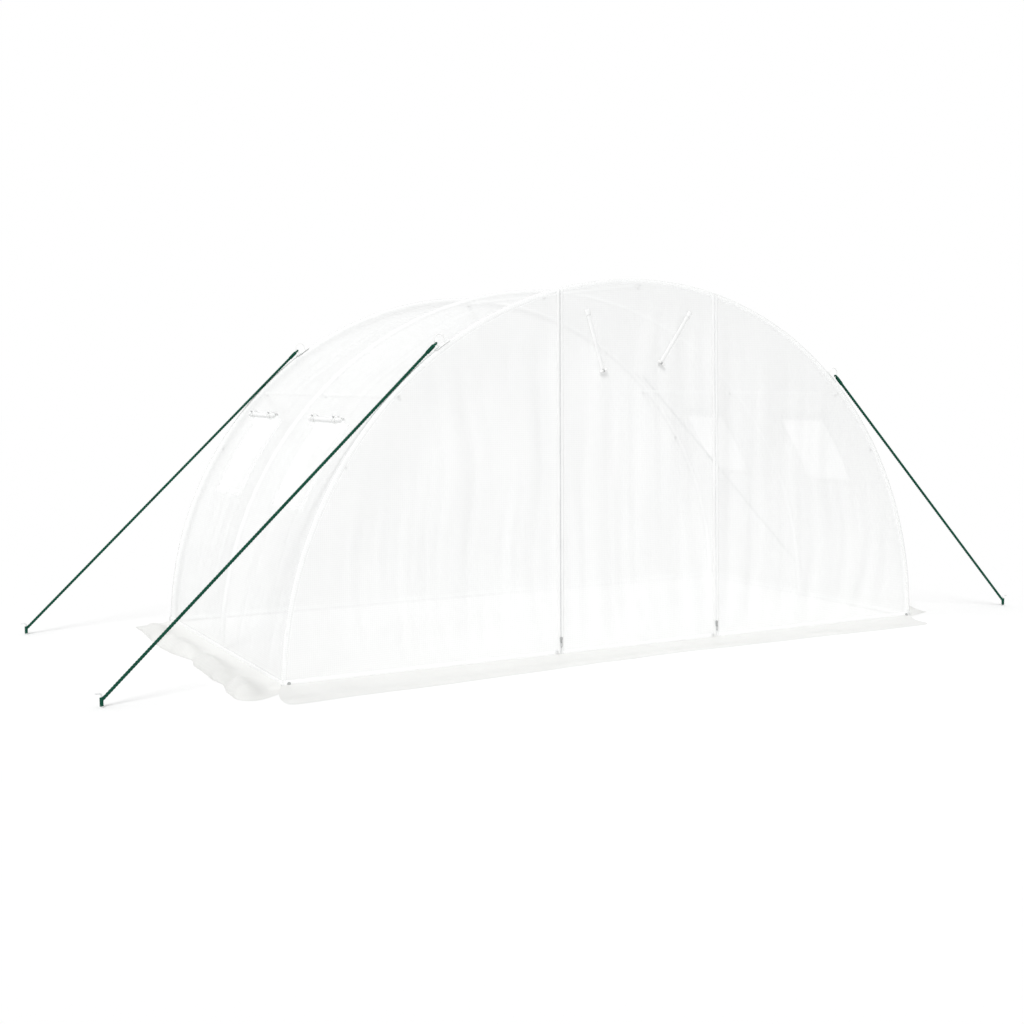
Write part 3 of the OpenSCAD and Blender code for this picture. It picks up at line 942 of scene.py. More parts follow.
zip_gap = ZIP_W / 2 + WELT_GAP
zip_feet = [sign * ZIP_X + zip_lean(side, 0.0) for side, sign in SIDES.items()]
front_stops = [-foot_x, zip_feet[0] - zip_gap, zip_feet[0] + zip_gap, zip_feet[1] - zip_gap,
               zip_feet[1] + zip_gap, foot_x]
turn_y = gable_y + WELT_BULGE
WELT_RUNS = {"left": [((-foot_x, turn_y), (-foot_x, -turn_y))],
             "right": [((foot_x, -turn_y), (foot_x, turn_y))],
             "rear": [((foot_x, gable_y), (-foot_x, gable_y))],
             "front": [((a, -gable_y), (b, -gable_y)) for a, b in zip(front_stops[::2], front_stops[1::2])]}
for place, runs in WELT_RUNS.items():
    make_piece(f"{place}_welt", joined([welt_shape(*run) for run in runs]), welt_finish, closed=True)

# %% [markdown]
# ## The door zips
# Each side of the door has a zip from the ground to the arch. Its look comes from the row of teeth, which
# catches shadow between two white tapes. One tooth is a small block with eight corners, and arrays place a
# few hundred of them in two interlocking rows.

# %% Zip finishes
def plastic_finish(name, colour, shaded, roughness):
    """Moulded plastic with a faint mottle."""
    material, tree, shader = new_finish(name, specular_ior_level=0.45)
    mottle = noise(tree, object_coordinates(tree), scale=90.0, detail=3.0)
    feed(tree, shader, base_color=blend_colours(tree, mottle, colour, shaded),
         roughness=ramp(tree, mottle, low=0.3, high=0.7, to_low=roughness - 0.08, to_high=roughness + 0.1))
    bump(tree, shader, mottle, distance=0.0003, strength=0.3)
    return material


# The left teeth are painted a darker grey than the right ones: painted shade for the dark line along that row
# of teeth.
teeth_materials = {"left": plastic_finish("zip_teeth_painted_shade", (0.80, 0.81, 0.81), (0.70, 0.71, 0.71), 0.45),
                   "right": plastic_finish("zip_teeth", (0.95, 0.955, 0.955), (0.90, 0.91, 0.91), 0.45)}
slider_material = plastic_finish("zip_slider", (0.50, 0.51, 0.51), (0.38, 0.39, 0.39), 0.35)
zip_tape_material = tape_finish("zip_tape", (0.97, 0.975, 0.97), (0.90, 0.91, 0.905))
toggle_material = plastic_finish("white_toggle", (0.93, 0.93, 0.92), (0.86, 0.86, 0.85), 0.38)
print("zip finishes ready")

# %% Zips
TOOTH_PITCH = 0.0052
TOOTH_SIZE = np.array([0.0058, 0.0026, 0.0022])
TEETH_LAP = 0.0017
TEETH_END = 0.012
ZIP_TAPE_GAP = 0.003
ZIP_TAPE_T = 0.0007
ZIP_TAPE_WAVE = 0.0006
ZIP_TAPE_SPACING = (0.11, 0.02)
ZIP_UNDER = 0.003
ZIP_PROUD = 0.0011
ZIP_TAPE_PROUD = 0.6 * ZIP_PROUD
ZIP_TAPE_GRID = (6, 90)


def block_shapes(centres, size):
    """One small block with drawn-in outer corners at each centre, all in one set of arrays."""
    corner = np.array([[-1, 1, -1], [1, 1, -1], [1, 1, 1], [-1, 1, 1],
                       [-0.7, -1, -0.6], [0.7, -1, -0.6], [0.7, -1, 0.6], [-0.7, -1, 0.6]]) / 2
    faces = np.array([[0, 1, 2, 3], [7, 6, 5, 4], [4, 5, 1, 0], [5, 6, 2, 1], [6, 7, 3, 2], [7, 4, 0, 3]])
    points = (centres[:, None] + corner * size).reshape(-1, 3)
    quads = (faces + len(corner) * np.arange(len(centres))[:, None, None]).reshape(-1, 4)
    return points, quads, points[:, ::2]


def zip_middle(side, share):
    """Where the middle of a zip lies across the span, at a share of the way up."""
    return SIDES[side] * ZIP_X + zip_lean(side, share)


def zip_teeth(side):
    """Two rows of teeth that lie half a pitch apart, from the ground to the arch."""
    top = float(arch_height(zip_middle(side, 1.0), film_r)) - TEETH_END
    z = np.arange(TEETH_END, top, TOOTH_PITCH)
    x = zip_middle(side, z / top)
    y = -gable_y - ZIP_PROUD - TOOTH_SIZE[1] / 2
    rows = [paired(x + row * TEETH_LAP, y, z + (row + 1) * TOOTH_PITCH / 4) for row in (-1, 1)]
    return block_shapes(np.concatenate(rows), TOOTH_SIZE)


def zip_tapes(side):
    """Two strips from the ground to the arch with a narrow gap between them, sewn on over the film."""
    share = np.linspace(0, 1, ZIP_TAPE_GRID[1])
    shapes = []
    for half in (-1, 1):
        across = np.sort(half * np.linspace(ZIP_TAPE_GAP / 2, ZIP_W / 2, ZIP_TAPE_GRID[0]))[:, None]
        x = zip_middle(side, share) + across
        z = arch_height(x, film_r - ZIP_UNDER) * share
        wave = ZIP_TAPE_WAVE * soft_noise(z, across, ZIP_TAPE_SPACING, 90)
        shapes.append(grid_shape(paired(x, -gable_y - ZIP_TAPE_PROUD - wave, z)[::-1]))
    return joined(shapes)


for side in SIDES:
    make_piece(f"{side}_zip_tape", zip_tapes(side), zip_tape_material, [f"{side}_zip"],
               thickness=ZIP_TAPE_T, shade=False)
    make_piece(f"{side}_zip_teeth", zip_teeth(side), teeth_materials[side], closed=True, shade=False)

# %% Zip sliders
SLIDER_Z = 0.070
SLIDER_LEN = 0.034
SLIDER_W = 0.018
SLIDER_T = 0.0048
SLIDER_WAIST = 0.62
SLIDER_OVER = 0.0006
SLIDER_SQUARE = 0.5
SLIDER_TIP = 0.02
SLIDER_GRID = (13, 24)
BRIDGE_H = 0.0045
BRIDGE_OVER = 0.002
BRIDGE_SPAN = (0.55, 0.3)
BRIDGE_WIRE = 0.0015
BRIDGE_POINTS = 15
PULL_LEN = 0.036
PULL_W = 0.009
PULL_WIRE = 0.0014
PULL_OUT = 0.0048
PULL_FROM = 0.42
PULL_SQUARE = 0.7
PULL_POINTS = 48
WIRE_SIDES = 8


def squared(wave, power):
    """A sine or cosine drawn towards its ends, which makes a circle squarer: sign times size to a power."""
    return np.sign(wave) * np.abs(wave) ** power


def slider_shapes(side):
    """A shield that widens upwards, with ends rounded as √(1 - t⁸), a bridge over it, and a loop-shaped pull
    that hangs from the bridge."""
    x = zip_middle(side, SLIDER_Z / rise)
    front = -gable_y - ZIP_PROUD - TOOTH_SIZE[1]
    height = np.linspace(0, 1, SLIDER_GRID[0])[:, None]
    widening = SLIDER_WAIST + (1 - SLIDER_WAIST) * smooth(height)
    half = SLIDER_W / 2 * widening * np.sqrt(np.clip(1 - (2 * height - 1) ** 8, SLIDER_TIP, 1))
    turn = full_turn(SLIDER_GRID[1])[:, 0]
    body = paired(x + half * squared(np.cos(turn), SLIDER_SQUARE),
                  front - SLIDER_OVER + SLIDER_T / 2 * squared(np.sin(turn), SLIDER_SQUARE),
                  SLIDER_Z + SLIDER_LEN * height)
    arch = np.linspace(0, np.pi, BRIDGE_POINTS)
    bridge = paired(x, front - BRIDGE_OVER - BRIDGE_H * np.sin(arch),
                    SLIDER_Z + SLIDER_LEN * (BRIDGE_SPAN[0] - BRIDGE_SPAN[1] * np.cos(arch)))
    spin = full_turn(PULL_POINTS)[:, 0]
    pull_z = SLIDER_Z + SLIDER_LEN * PULL_FROM - PULL_LEN / 2
    pull = paired(x + PULL_W / 2 * np.cos(spin), front - PULL_OUT,
                  pull_z + PULL_LEN / 2 * squared(np.sin(spin), PULL_SQUARE))
    return joined([grid_shape(body, around=True),
                   swept_shape(bridge, ACROSS, ring_profile(BRIDGE_WIRE, WIRE_SIDES)),
                   swept_shape(pull, ALONG, ring_profile(PULL_WIRE, WIRE_SIDES), ring=True)])


for side in SIDES:
    make_piece(f"{side}_zip_slider", slider_shapes(side), slider_material, closed=True, merge=True)

# %% [markdown]
# ## Door ties
# Two webbing straps with toggles hang at the top of the door and hold it when it is rolled up. A strap is a
# flat profile that follows its path: sewn flat at the top, then hanging a little free, down to its toggle.

# %% Door ties
TIE_W = 0.022
TIE_T = 0.0018
TIE_PROUD = 0.0026
TIE_SWING = 0.004
TIE_WAVE = 0.0016
TIE_WAVE_TURN = 5
TIE_PATCH = 1.25
PATCH_POINTS = 5
TIE_TOP = 0.004
TIE_END = 0.016
TIE_DROP = 0.004
TIE_TOGGLE_R = 0.0075
TIE_TOGGLE_LEN = 0.050
TIE_TOGGLE_OUT = 0.0095
TIE_LOOP_R = 0.0068
TIE_LOOP_T = 0.0016
TIE_POINTS = 40
TIE_LOOP_POINTS = 32


def tie_ends(side):
    """Top and bottom of a tie, from the box of its CAD node: the strap's top outside, the toggle inside."""
    low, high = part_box(f"{side}_door_tie")
    top_x = low.x + TIE_W / 2 if side == "left" else high.x - TIE_W / 2
    end_x = high.x - TIE_TOGGLE_LEN / 2 if side == "left" else low.x + TIE_TOGGLE_LEN / 2
    return np.array([top_x, -gable_y, high.z - TIE_TOP]), np.array([end_x, -gable_y, low.z + TIE_END])


def tie_shapes(side):
    """The strap's path: a straight line down the door that swings out a few millimetres over the toggle."""
    top, bottom = tie_ends(side)
    share = np.linspace(0, 1, TIE_POINTS)
    path = top + (bottom - top) * share[:, None]
    path[:, 1] -= TIE_PROUD + TIE_SWING * smooth(share) + TIE_WAVE * np.sin(TIE_WAVE_TURN * share)
    down = unit(bottom - top)
    across = np.cross(down, ALONG)
    strap = swept_shape(path, across, slab_profile(TIE_W, TIE_T))
    patch = swept_shape(path[:PATCH_POINTS] - TIE_T * ALONG, across, slab_profile(TIE_W * TIE_PATCH, TIE_T))
    spot = bottom - TIE_TOGGLE_OUT * ALONG + down * TIE_DROP
    loop = circle(spot, TIE_LOOP_R, down, ALONG, TIE_LOOP_POINTS)
    band = swept_shape(loop, across, slab_profile(LOOP_W, TIE_LOOP_T), ring=True)
    return joined([strap, patch]), barrel_shape(spot, across, TIE_TOGGLE_R, TIE_TOGGLE_LEN), band


for side in SIDES:
    strap, barrel, band = tie_shapes(side)
    make_piece(f"{side}_tie_strap", strap, zip_tape_material, [f"{side}_door_tie"], closed=True,
               shade=False)
    make_piece(f"{side}_tie_toggle", barrel, toggle_material, closed=True, merge=True)
    make_piece(f"{side}_tie_loop", band, loop_material, closed=True, merge=True)

# %% [markdown]
# ## Skirts
# Along the ground the film turns outwards as a skirt, which is weighed down in use. Cloth simulation could
# drop it there, but waves and lumps from noise stay the same each run. The end skirts lie almost flat. The
# side skirts are slack and gather into a few rounded lumps, with valleys between them that run outwards.
# Each skirt passes its neighbour at one corner and is drawn in at the other, so a skirt turned half round
# the tunnel fits the opposite side. All outer edges lie on the ground.

# %% Sizes of the end skirts
SKIRT_STEP = 0.016
SKIRT_LIFT = 0.0016
SKIRT_TUCK = 0.0015
EDGE_LIFT = 0.0006
SKIRT_LEAN = 0.29
CORNER_R = 0.06
CORNER_CUT = 0.8 * CORNER_R
END_WALL_H = 0.012
END_SKIRT_PLACES = [-1.0, -0.32, 0.13, 0.54, 1.0]
END_SKIRT_WIDTHS = [0.355, 0.270, 0.217, 0.243, 0.253]
EDGE_WANDERS = [(0.008, (1 / 5, 1)), (0.004, (1 / 19, 1))]
END_WAVES = [(0.0045, (0.30, 0.10)), (0.0030, (0.10, 0.13))]
END_ROLL = 0.006
END_ROLL_SPACING = (0.24, 0.4)
END_ROLL_PLACE = 0.82
END_ROLL_WIDTH = 0.16
END_WALL_REACH = 0.5
END_WAVES_FROM = 0.2
END_LIES_FROM = 0.8
print(f"end skirts are {min(END_SKIRT_WIDTHS)} to {max(END_SKIRT_WIDTHS)} m wide")

# %% End skirts
def summed_noise(u, v, layers, seed):
    """Soft noises of several heights and spacings, one on the other, each from the next seed."""
    return sum(height * soft_noise(u, v, spacing, seed + k) for k, (height, spacing) in enumerate(layers))


def quarter_round(share):
    """How far a quarter circle has fallen at a share of its radius: 1 - √(1 - t²)."""
    return 1 - np.sqrt(1 - np.clip(share, 0, 1) ** 2)


def end_skirt_shape(end, seed):
    """Across: from the gable outwards by a width that changes along it, and leaning towards one corner. Up:
    down from the welt to low waves and a soft roll, and then to an edge that lies on the ground. The waves
    fade towards both corners, which are rounded off."""
    inner = min(abs(corner.y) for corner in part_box(f"{end}_skirt")) - SKIRT_TUCK
    along = stations([-1, 1], SKIRT_STEP / foot_x)[:, None]
    share = np.linspace(0, 1, round(max(END_SKIRT_WIDTHS) / SKIRT_STEP) + 1)
    to_corner = (1 - np.abs(along)) * foot_x / CORNER_R
    width = np.interp(-ENDS[end] * along, END_SKIRT_PLACES, END_SKIRT_WIDTHS)
    width = width - CORNER_CUT * quarter_round(1 - to_corner)
    x = along * foot_x + ENDS[end] * SKIRT_LEAN * width * (1 - (1 - share) ** 2)
    y = ENDS[end] * (inner + (width + summed_noise(along, 0, EDGE_WANDERS, seed)) * share)
    waves = summed_noise(x, y, END_WAVES, seed + 2)
    uneven = 1 + soft_noise(x, y, END_ROLL_SPACING, seed + 5)
    rolls = END_ROLL * bell(share - END_ROLL_PLACE, END_ROLL_WIDTH) * uneven
    by_wall = END_WALL_H * (1 - smooth(share / END_WALL_REACH))
    lie = 1 - smooth((share - END_LIES_FROM) / (1 - END_LIES_FROM))
    lift = SKIRT_LIFT + np.maximum(waves + rolls, -SKIRT_LIFT / 2) * smooth(share / END_WAVES_FROM)
    points = paired(x, y, EDGE_LIFT + lie * (smooth(to_corner) * lift + by_wall))
    points = points[::-1, ::ENDS[end]]
    return grid_shape(points, points[..., :2])


for end in ENDS:
    shape = end_skirt_shape(end, 100 + ENDS[end] * 10)
    skirt = make_piece(f"{end}_skirt_film", shape, skirt_finish, [f"{end}_skirt"])

# %% Sizes of the side skirts
SIDE_PLACES = [-0.96, -0.23, -0.05, 0.18, 0.30, 0.70, 0.80, 0.95, 1.19]
SIDE_REACHES = [0.226, 0.258, 0.246, 0.204, 0.226, 0.236, 0.226, 0.258, 0.262]
SIDE_ROWS = 197
SIDE_COLUMNS = 30
EDGE_CROWDING = 1.5
SIDE_PASS = (0.10, 0.19)
SIDE_DRAWN_IN = 0.075
SIDE_VALLEYS = np.array([0.80, 0.19, -0.38])
VALLEY_WIDTH = 0.085
VALLEY_BEND = 0.05
VALLEY_WANDER = (0.03, (1 / 3, 1))
REACH_WANDER = (0.004, (0.11, 1))
FOLD_LEAN = (0.10, (0.4, 1))
FOLD_H = 0.012
LONG_FOLDS = (0.13, 0.20)
SHORT_FOLDS = (0.06, 0.09)
SHORT_FOLD_SHARE = 0.5
LUMP_H = 0.052
LUMP_LEAST = 0.16
PUFF_FROM = 0.2
PUFF_RISE = 0.6
ROUND_FROM = 0.55
WALL_H = 0.016
WALL_REACH = 0.6
WALL_END = 0.05
SLIT_SLOPE = 0.31
SLIT_W = 0.006
SLIT_START = 0.02
PASSED_ROUND = 0.09
PASSED_CUT = 0.07
PASSED_END_FLAT = 0.14
DRAWN_END_FLAT = 0.26
PASSED_END_LIES = 0.03
DRAWN_END_LIES = 0.06
print(f"side skirts reach {min(SIDE_REACHES)} to {max(SIDE_REACHES)} m out")

# %% Side skirts
def side_skirt_shape(side, seed):
    """Along: from the corner that the skirt passes, where its tip is round, to the one where it is drawn in.
    Across: from the wall to an edge whose reach is given at nine places and wanders a little. Up: down from
    the welt to puffed lumps between the valleys, round at their outer edge, with short folds over them. Both
    ends lie flat."""
    inner = min(abs(corner.x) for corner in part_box(f"{side}_skirt")) - SKIRT_TUCK
    share = 1 - np.linspace(1, 0, SIDE_COLUMNS) ** EDGE_CROWDING
    start = gable_y + SIDE_PASS[0] + (SIDE_PASS[1] - SIDE_PASS[0]) * (1 - (1 - share) ** 2)
    stop = -gable_y + SIDE_DRAWN_IN * share
    run = start + (stop - start) * np.linspace(0, 1, SIDE_ROWS)[:, None]
    edge_run = run[:, -1:]
    bent_run = edge_run + VALLEY_BEND * (1 - share) + summed_noise(share, 0, [VALLEY_WANDER], seed + 6)
    from_valley = np.abs(bent_run - SIDE_VALLEYS[:, None, None]).min(axis=0)
    lump = 1 - bell(from_valley, VALLEY_WIDTH)
    past_corner = np.maximum(run - gable_y, 0)
    slit = past_corner * SLIT_SLOPE + SLIT_W * smooth(past_corner / SLIT_START)
    reach = np.interp(edge_run, SIDE_PLACES, SIDE_REACHES) + summed_noise(edge_run, 0, [REACH_WANDER], seed)
    reach = reach - PASSED_CUT * quarter_round(1 - (edge_run.max() - edge_run) / PASSED_ROUND)
    out = slit + (reach - slit) * share
    lean = run + share * summed_noise(run, 0, [FOLD_LEAN], seed + 2)
    folds = (np.abs(soft_noise(lean, out, LONG_FOLDS, seed + 3))
             + SHORT_FOLD_SHARE * np.abs(soft_noise(lean, out, SHORT_FOLDS, seed + 4)))
    ends = smooth((start - run) / PASSED_END_FLAT) * smooth((run - stop) / DRAWN_END_FLAT)
    lumps = LUMP_H * (LUMP_LEAST + (1 - LUMP_LEAST) * lump) + FOLD_H * folds
    puff = smooth((share - PUFF_FROM) / PUFF_RISE) * ends * lumps
    by_wall = WALL_H * (1 - smooth(share / WALL_REACH)) * smooth((gable_y - run) / WALL_END + 1)
    lie = smooth((run - stop) / DRAWN_END_LIES) * smooth((start - run) / PASSED_END_LIES)
    edge = 1 - quarter_round((share - ROUND_FROM) / (1 - ROUND_FROM))
    z = EDGE_LIFT + edge * (SKIRT_LIFT + puff + by_wall) * lie
    points = paired(SIDES[side] * (inner + out), SIDES[side] * run, z)[:, ::-1]
    return grid_shape(points, points[..., :2])


for side in SIDES:
    shape = side_skirt_shape(side, 130 + SIDES[side] * 10)
    skirt = make_piece(f"{side}_skirt_film", shape, crumpled_finish, [f"{side}_skirt"])

# %% [markdown]
# ## Rope tabs and rings
# On each end hoop, high on both sides, a webbing tab is sewn to the cover and holds a white ring for the
# rope. The tab is a short strip on the arch that humps over the bar of the ring. The ring is a round profile
# on a circle.

# %% Tabs and rings
TAB_W = 0.026
TAB_LEN = 0.090
TAB_T = 0.0026
TAB_HUMP = 0.0072
TAB_HUMP_W = 0.0052
TAB_HUMP_LEN = 0.014
TAB_WEAR = 0.0005
TAB_WEAR_SPACING = (0.015, 0.01)
TAB_GRID = (31, 19)
RING_D = 0.056
RING_BAR = 0.005
RING_OVER = 0.0033
RING_GRID = (64, 12)
ring_r = film_r + film_t / 2 + RING_OVER + RING_D / 2 + RING_BAR / 4


def ring_centre(side, end):
    """The middle of a rope ring."""
    return on_arch(TAB_ANGLES[side], ring_r, ENDS[end] * hoop_y)


def tab_shape(side, end):
    """A strip on the cover, with a hump where it passes over the bar of the ring."""
    along = np.linspace(-TAB_LEN / 2, TAB_LEN / 2, TAB_GRID[0])[:, None]
    across = np.linspace(-TAB_W / 2, TAB_W / 2, TAB_GRID[1])
    hump = TAB_HUMP * bell(across, TAB_HUMP_W, 4) * bell(along, TAB_HUMP_LEN, 6)
    worn = TAB_WEAR * soft_noise(along, across, TAB_WEAR_SPACING, 150)
    radius = film_r + film_t / 2 + SEAM_LIFT + hump + worn
    points = on_arch(TAB_ANGLES[side] + along / film_r, radius, ENDS[end] * hoop_y + across)
    return grid_shape(points, paired(along, across))


def ring_shape(side, end):
    """A round bar bent to a circle in the plane of the hoop."""
    path = circle(ring_centre(side, end), RING_D / 2, ACROSS, UP, RING_GRID[0])
    return swept_shape(path, ALONG, ring_profile(RING_BAR / 2, RING_GRID[1]), ring=True)


CORNERS = [(side, end) for side in SIDES for end in ENDS]
tabs = joined([tab_shape(side, end) for side, end in CORNERS])
rings = joined([ring_shape(side, end) for side, end in CORNERS])
make_piece("rope_tab_webbing", tabs, tape_material, ["rope_tabs"], thickness=TAB_T)
make_piece("rope_rings", rings, toggle_material, closed=True)

# %% [markdown]
# ## Guy ropes
# A guy rope is taut, so it is a straight line from ring to peg, and its look is in its lay: three strands
# that twist round each other. Each strand's middle is a helix about the line. At the ring the rope doubles
# back round the bar under a tight lashing, and at the peg it is wound on in a close helix.

# %% Rope finish
ROPE_GREENS = ((0.0015, 0.042, 0.024), (0.005, 0.112, 0.066))
FIBRE_SCALE = (55.0, 14.0, 1.0)


def rope_finish():
    """Green twine: fine fibres along each strand, darker in patches where it is damp."""
    material, tree, shader = new_finish("green_rope", roughness=0.75, specular_ior_level=0.2)
    fibre = noise(tree, stretched(tree, flat_coordinates(tree), FIBRE_SCALE), scale=1.0, detail=4.0)
    patch = noise(tree, object_coordinates(tree), scale=14.0, detail=3.0)
    share = plus_share(tree, maths(tree, "MULTIPLY", fibre, 0.7), patch, 0.3)
    feed(tree, shader, base_color=blend_colours(tree, ramp(tree, share, low=0.32, high=0.68), *ROPE_GREENS))
    bump(tree, shader, fibre, distance=0.0006, strength=0.7)
    return material


rope_material = rope_finish()
print("rope finish ready")

# %% Sizes of the ropes
ROPE_D = 0.0168
STRANDS = 3
STRAND_R = 0.0046
STRAND_OFF = 0.0039
STRAND_START = 0.012
ROPE_LAY = 0.046
ROPE_STEP = 0.005
STRAND_SIDES = 8
LASHING_LEN = 0.050
LASHING_START = 0.010
LASHING_WIRE = 0.0008
LASHING_SINK = 0.2
LASHING_PITCH = 2 * LASHING_WIRE * 1.04
LASHING_GRID = (18, 7)
BIGHT_LEGS = np.array([[0.0132], [0.022]])
BIGHT_SPREAD = np.array([[0.85], [0.55]])
BIGHT_GAP = 0.0008
BIGHT_GRID = (17, 10)
WINDING_D = 0.018
WINDING_H = 0.045
WINDING_LOW = 1.3
WINDING_LOOSE = 1.03
WINDING_GRID = (24, 9)
PEG_D = 0.008
NEARLY_ALONG = ALONG + 0.02 * UP
print(f"{STRANDS} strands, one turn in {ROPE_LAY * 1000:.0f} mm")

# %% Strands and windings
def helix(start, stop, radius, pitch, per_turn):
    """A helix about the line from start to stop, and that line's direction."""
    line = stop - start
    long = np.linalg.norm(line)
    way = line / long
    first = unit(np.cross(way, NEARLY_ALONG))
    share = np.linspace(0, 1, max(2, round(long / pitch * per_turn)) + 1)[:, None]
    turn = share * long / pitch * 2 * np.pi
    return start + line * share + radius * (np.cos(turn) * first + np.sin(turn) * np.cross(way, first)), way


def strand_shape(start, stop, phase):
    """One strand: a round section, square to the rope, about a middle that turns round the rope."""
    way = unit(stop - start)
    second = np.cross(way, ALONG)
    run = stations([0, np.linalg.norm(stop - start)], ROPE_STEP)[:, None, None]
    turn = 2 * np.pi * run / ROPE_LAY + phase
    spin = full_turn(STRAND_SIDES)
    middle = start + way * run + STRAND_OFF * (np.cos(turn) * ALONG + np.sin(turn) * second)
    points = middle + STRAND_R * (np.cos(spin + turn) * ALONG + np.sin(spin + turn) * second)
    return grid_shape(points, paired(run[..., 0], spin[:, 0] / (2 * np.pi)), around=True)


def bight_shape(bar, way):
    """A strand that comes up one side of the rope, goes round the ring's bar and back on the other side."""
    radius = RING_BAR / 2 + STRAND_R
    spin = np.linspace(-np.pi / 2, np.pi / 2, BIGHT_GRID[0])[:, None]
    bend = bar + radius * (-np.cos(spin) * way + np.sin(spin) * ALONG)
    legs = bar + BIGHT_LEGS * way
    aside = BIGHT_SPREAD * radius * ALONG
    path = np.concatenate([(legs - aside)[::-1], bend, legs + aside])
    return swept_shape(path, np.cross(way, ALONG), ring_profile(STRAND_R, BIGHT_GRID[1]))


print("strand and winding shapes ready")

# %% Ropes
def rope_shapes(side, end):
    """Strands, the lashing over them, the bight round the ring and the winding on the peg."""
    peg_x = SIDES[side] * (min(abs(corner.x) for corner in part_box(f"{end}_{side}_peg")) + PEG_D / 2)
    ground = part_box(f"{end}_{side}_rope")[0].z
    y = ENDS[end] * hoop_y
    ring = ring_centre(side, end)
    winding_top = ground + WINDING_H
    tie = np.array([peg_x, y, winding_top - ROPE_D])
    way = unit(tie - ring)
    bar = ring + way * RING_D / 2
    start = bar + way * (RING_BAR / 2 + BIGHT_GAP)
    shapes = [strand_shape(start + way * STRAND_START, tie, 2 * np.pi * k / STRANDS) for k in range(STRANDS)]
    lashed = start + way * LASHING_START
    lashing, _ = helix(lashed, lashed + way * LASHING_LEN, ROPE_D / 2 + LASHING_WIRE * (1 - LASHING_SINK),
                       LASHING_PITCH, LASHING_GRID[0])
    shapes.append(swept_shape(lashing, way, ring_profile(LASHING_WIRE, LASHING_GRID[1])))
    shapes.append(bight_shape(bar, way))
    wire = (WINDING_D - PEG_D) / 4
    low, high = (np.array([peg_x, y, z]) for z in (ground + WINDING_LOW * wire, winding_top - wire))
    winding, up = helix(low, high, PEG_D / 2 + wire, 2 * wire * WINDING_LOOSE, WINDING_GRID[0])
    shapes.append(swept_shape(winding, up, ring_profile(wire, WINDING_GRID[1])))
    return joined(shapes), np.linalg.norm(tie - start)


for side, end in CORNERS:
    shape, rope_len = rope_shapes(side, end)
    rope_name = f"{end}_{side}_guy_rope"
    make_piece(rope_name, shape, rope_material, [f"{end}_{side}_rope"], closed=True)
    print(f"{end} {side} rope: {rope_len:.3f} m from ring to peg")

# %% [markdown]
# ## Pegs, tubes and bolts
# The steel tubes and the pegs have the right shape in the CAD model already, so they only get a finish: a
# white powder coat with a faint orange-peel skin for the tubes, zinc for the pegs. Where a purlin crosses a
# hoop a bolt holds them, with its nut under the purlin. The end hoops have one more bolt on each side and a
# screw at each foot. A nut is a small turned shape with six sides.

# %% Tube and peg finishes
SCRATCH_SCALE = (900.0, 900.0, 60.0)
COAT_WHITE = ((0.985, 0.988, 0.988), (0.90, 0.905, 0.91))


def steel_finish(name, colour, dull, roughness):
    """Zinc-coated steel: cloudy patches of duller zinc and fine scratches along the bar."""
    material, tree, shader = new_finish(name, metallic=1.0)
    place = object_coordinates(tree)
    patch = ramp(tree, noise(tree, place, scale=60.0, detail=4.0), low=0.35, high=0.7)
    feed(tree, shader, base_color=blend_colours(tree, patch, colour, dull),
         roughness=ramp(tree, patch, 0, 1, roughness, roughness + 0.18))
    scratches = noise(tree, stretched(tree, place, SCRATCH_SCALE), scale=1.0)
    bump(tree, shader, scratches, distance=0.0001, strength=0.3)
    return material


def powder_coat():
    """White powder coat: a faint orange-peel skin, soft grey handling marks and a satin gloss."""
    material, tree, shader = new_finish("white_powder_coat", specular_ior_level=0.5)
    place = object_coordinates(tree)
    marks = ramp(tree, noise(tree, place, scale=7.0, detail=6.0), low=0.5, high=0.78)
    feed(tree, shader, base_color=blend_colours(tree, marks, *COAT_WHITE),
         roughness=ramp(tree, marks, 0, 1, to_low=0.30, to_high=0.46))
    bump(tree, shader, noise(tree, place, scale=420.0), distance=0.0002, strength=0.35)
    return material


zinc_material = steel_finish("zinc_steel", (0.86, 0.865, 0.87), (0.72, 0.725, 0.73), 0.34)
bolt_material = steel_finish("dark_bolts", (0.16, 0.165, 0.17), (0.10, 0.10, 0.105), 0.42)
coat_material = powder_coat()
TUBES = ["front_hoop", "middle_hoop", "rear_hoop", "ridge_purlin", "left_purlin", "right_purlin",
         "left_rail", "right_rail", "front_rail", "rear_rail"]
PEGS = [f"{end}_{side}_peg" for side, end in CORNERS]
for names, finish in ((TUBES, coat_material), (PEGS, zinc_material)):
    for name in names:
        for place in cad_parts[name].material_slots:
            place.material = finish
print(len(TUBES), "tubes and", len(PEGS), "pegs finished")

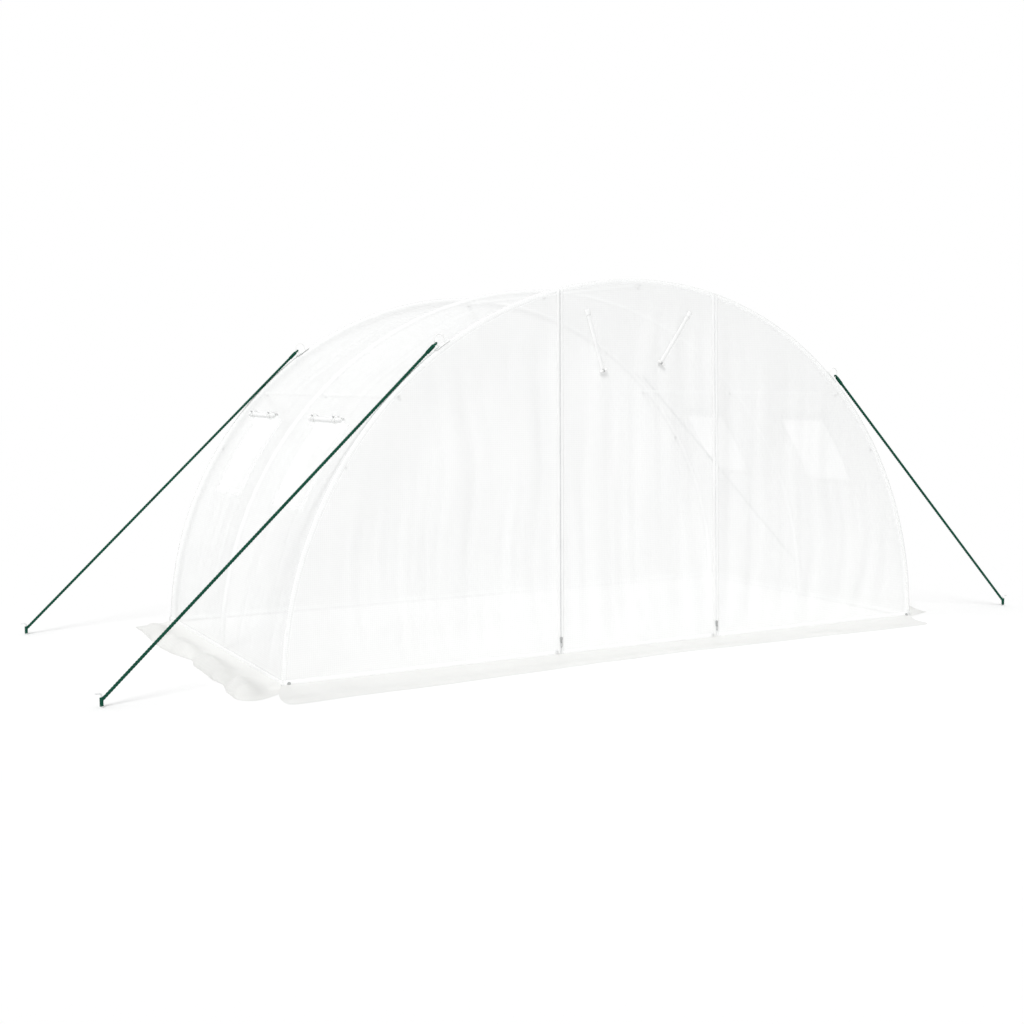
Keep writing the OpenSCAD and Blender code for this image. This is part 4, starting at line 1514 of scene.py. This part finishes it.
# %% Bolts
NUT_R = 0.0075
NUT_SPAN = (0.001, 0.0076)
NUT_BEVEL = 0.001
BOLT_R = 0.0032
BOLT_TIP = 0.7
BOLT_HEIGHTS = (0.006, 0.0115, 0.0125, 0.0128)
WASHER_R = 0.0092
WASHER_T = 0.0014
WASHER_SIDES, NUT_SIDES, BOLT_SIDES = 20, 6, 14
SPLICE_ANGLE = np.radians(32.4)
FOOT_SCREW_IN = 0.030
FOOT_SCREW_Z = 0.017
purlin_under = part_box("ridge_purlin")[0].z - arch_z


def nut_shapes(seat, axis):
    """A washer, a six-sided nut with bevelled edges and the rounded end of the bolt, from a seat along an
    axis. Each is an outline of radius and height."""
    low, high = NUT_SPAN
    drawn_in = NUT_R - NUT_BEVEL
    washer = [[0, 0], [WASHER_R, 0], [WASHER_R, WASHER_T], [0, WASHER_T]]
    nut = [[0, low], [drawn_in, low], [NUT_R, low + NUT_BEVEL],
           [NUT_R, high - NUT_BEVEL], [drawn_in, high], [0, high]]
    bolt = list(zip((0, BOLT_R, BOLT_R, BOLT_R * BOLT_TIP, 0), (BOLT_HEIGHTS[0], *BOLT_HEIGHTS)))
    outlines = ((washer, WASHER_SIDES), (nut, NUT_SIDES), (bolt, BOLT_SIDES))
    return [turned_shape(outline, seat, axis, sides) for outline, sides in outlines]


def arch_nuts(angle, radius, y):
    """A nut that points to the middle of the arch."""
    return nut_shapes(on_arch(angle, radius, y), [-np.cos(angle), 0, -np.sin(angle)])


nuts = [arch_nuts(angle, purlin_under, y) for angle in PURLIN_ANGLES for y in (-hoop_y, 0.0, hoop_y)]
nuts += [arch_nuts(angle, hoop_r - tube_d, end * hoop_y) for angle in (SPLICE_ANGLE, np.pi - SPLICE_ANGLE)
         for end in ENDS.values()]
screw_x = half_span - FOOT_SCREW_IN
screws = [nut_shapes([SIDES[side] * screw_x, ENDS[end] * turn_y, FOOT_SCREW_Z], ENDS[end] * ALONG)[:2]
          for side, end in CORNERS]
for name, parts, finish in (("bolts", nuts, bolt_material), ("foot_screws", screws, slider_material)):
    piece = make_piece(name, joined(sum(parts, [])), finish, closed=True, merge=True)
    piece.data.polygons.foreach_set("use_smooth", np.zeros(len(piece.data.polygons), bool))
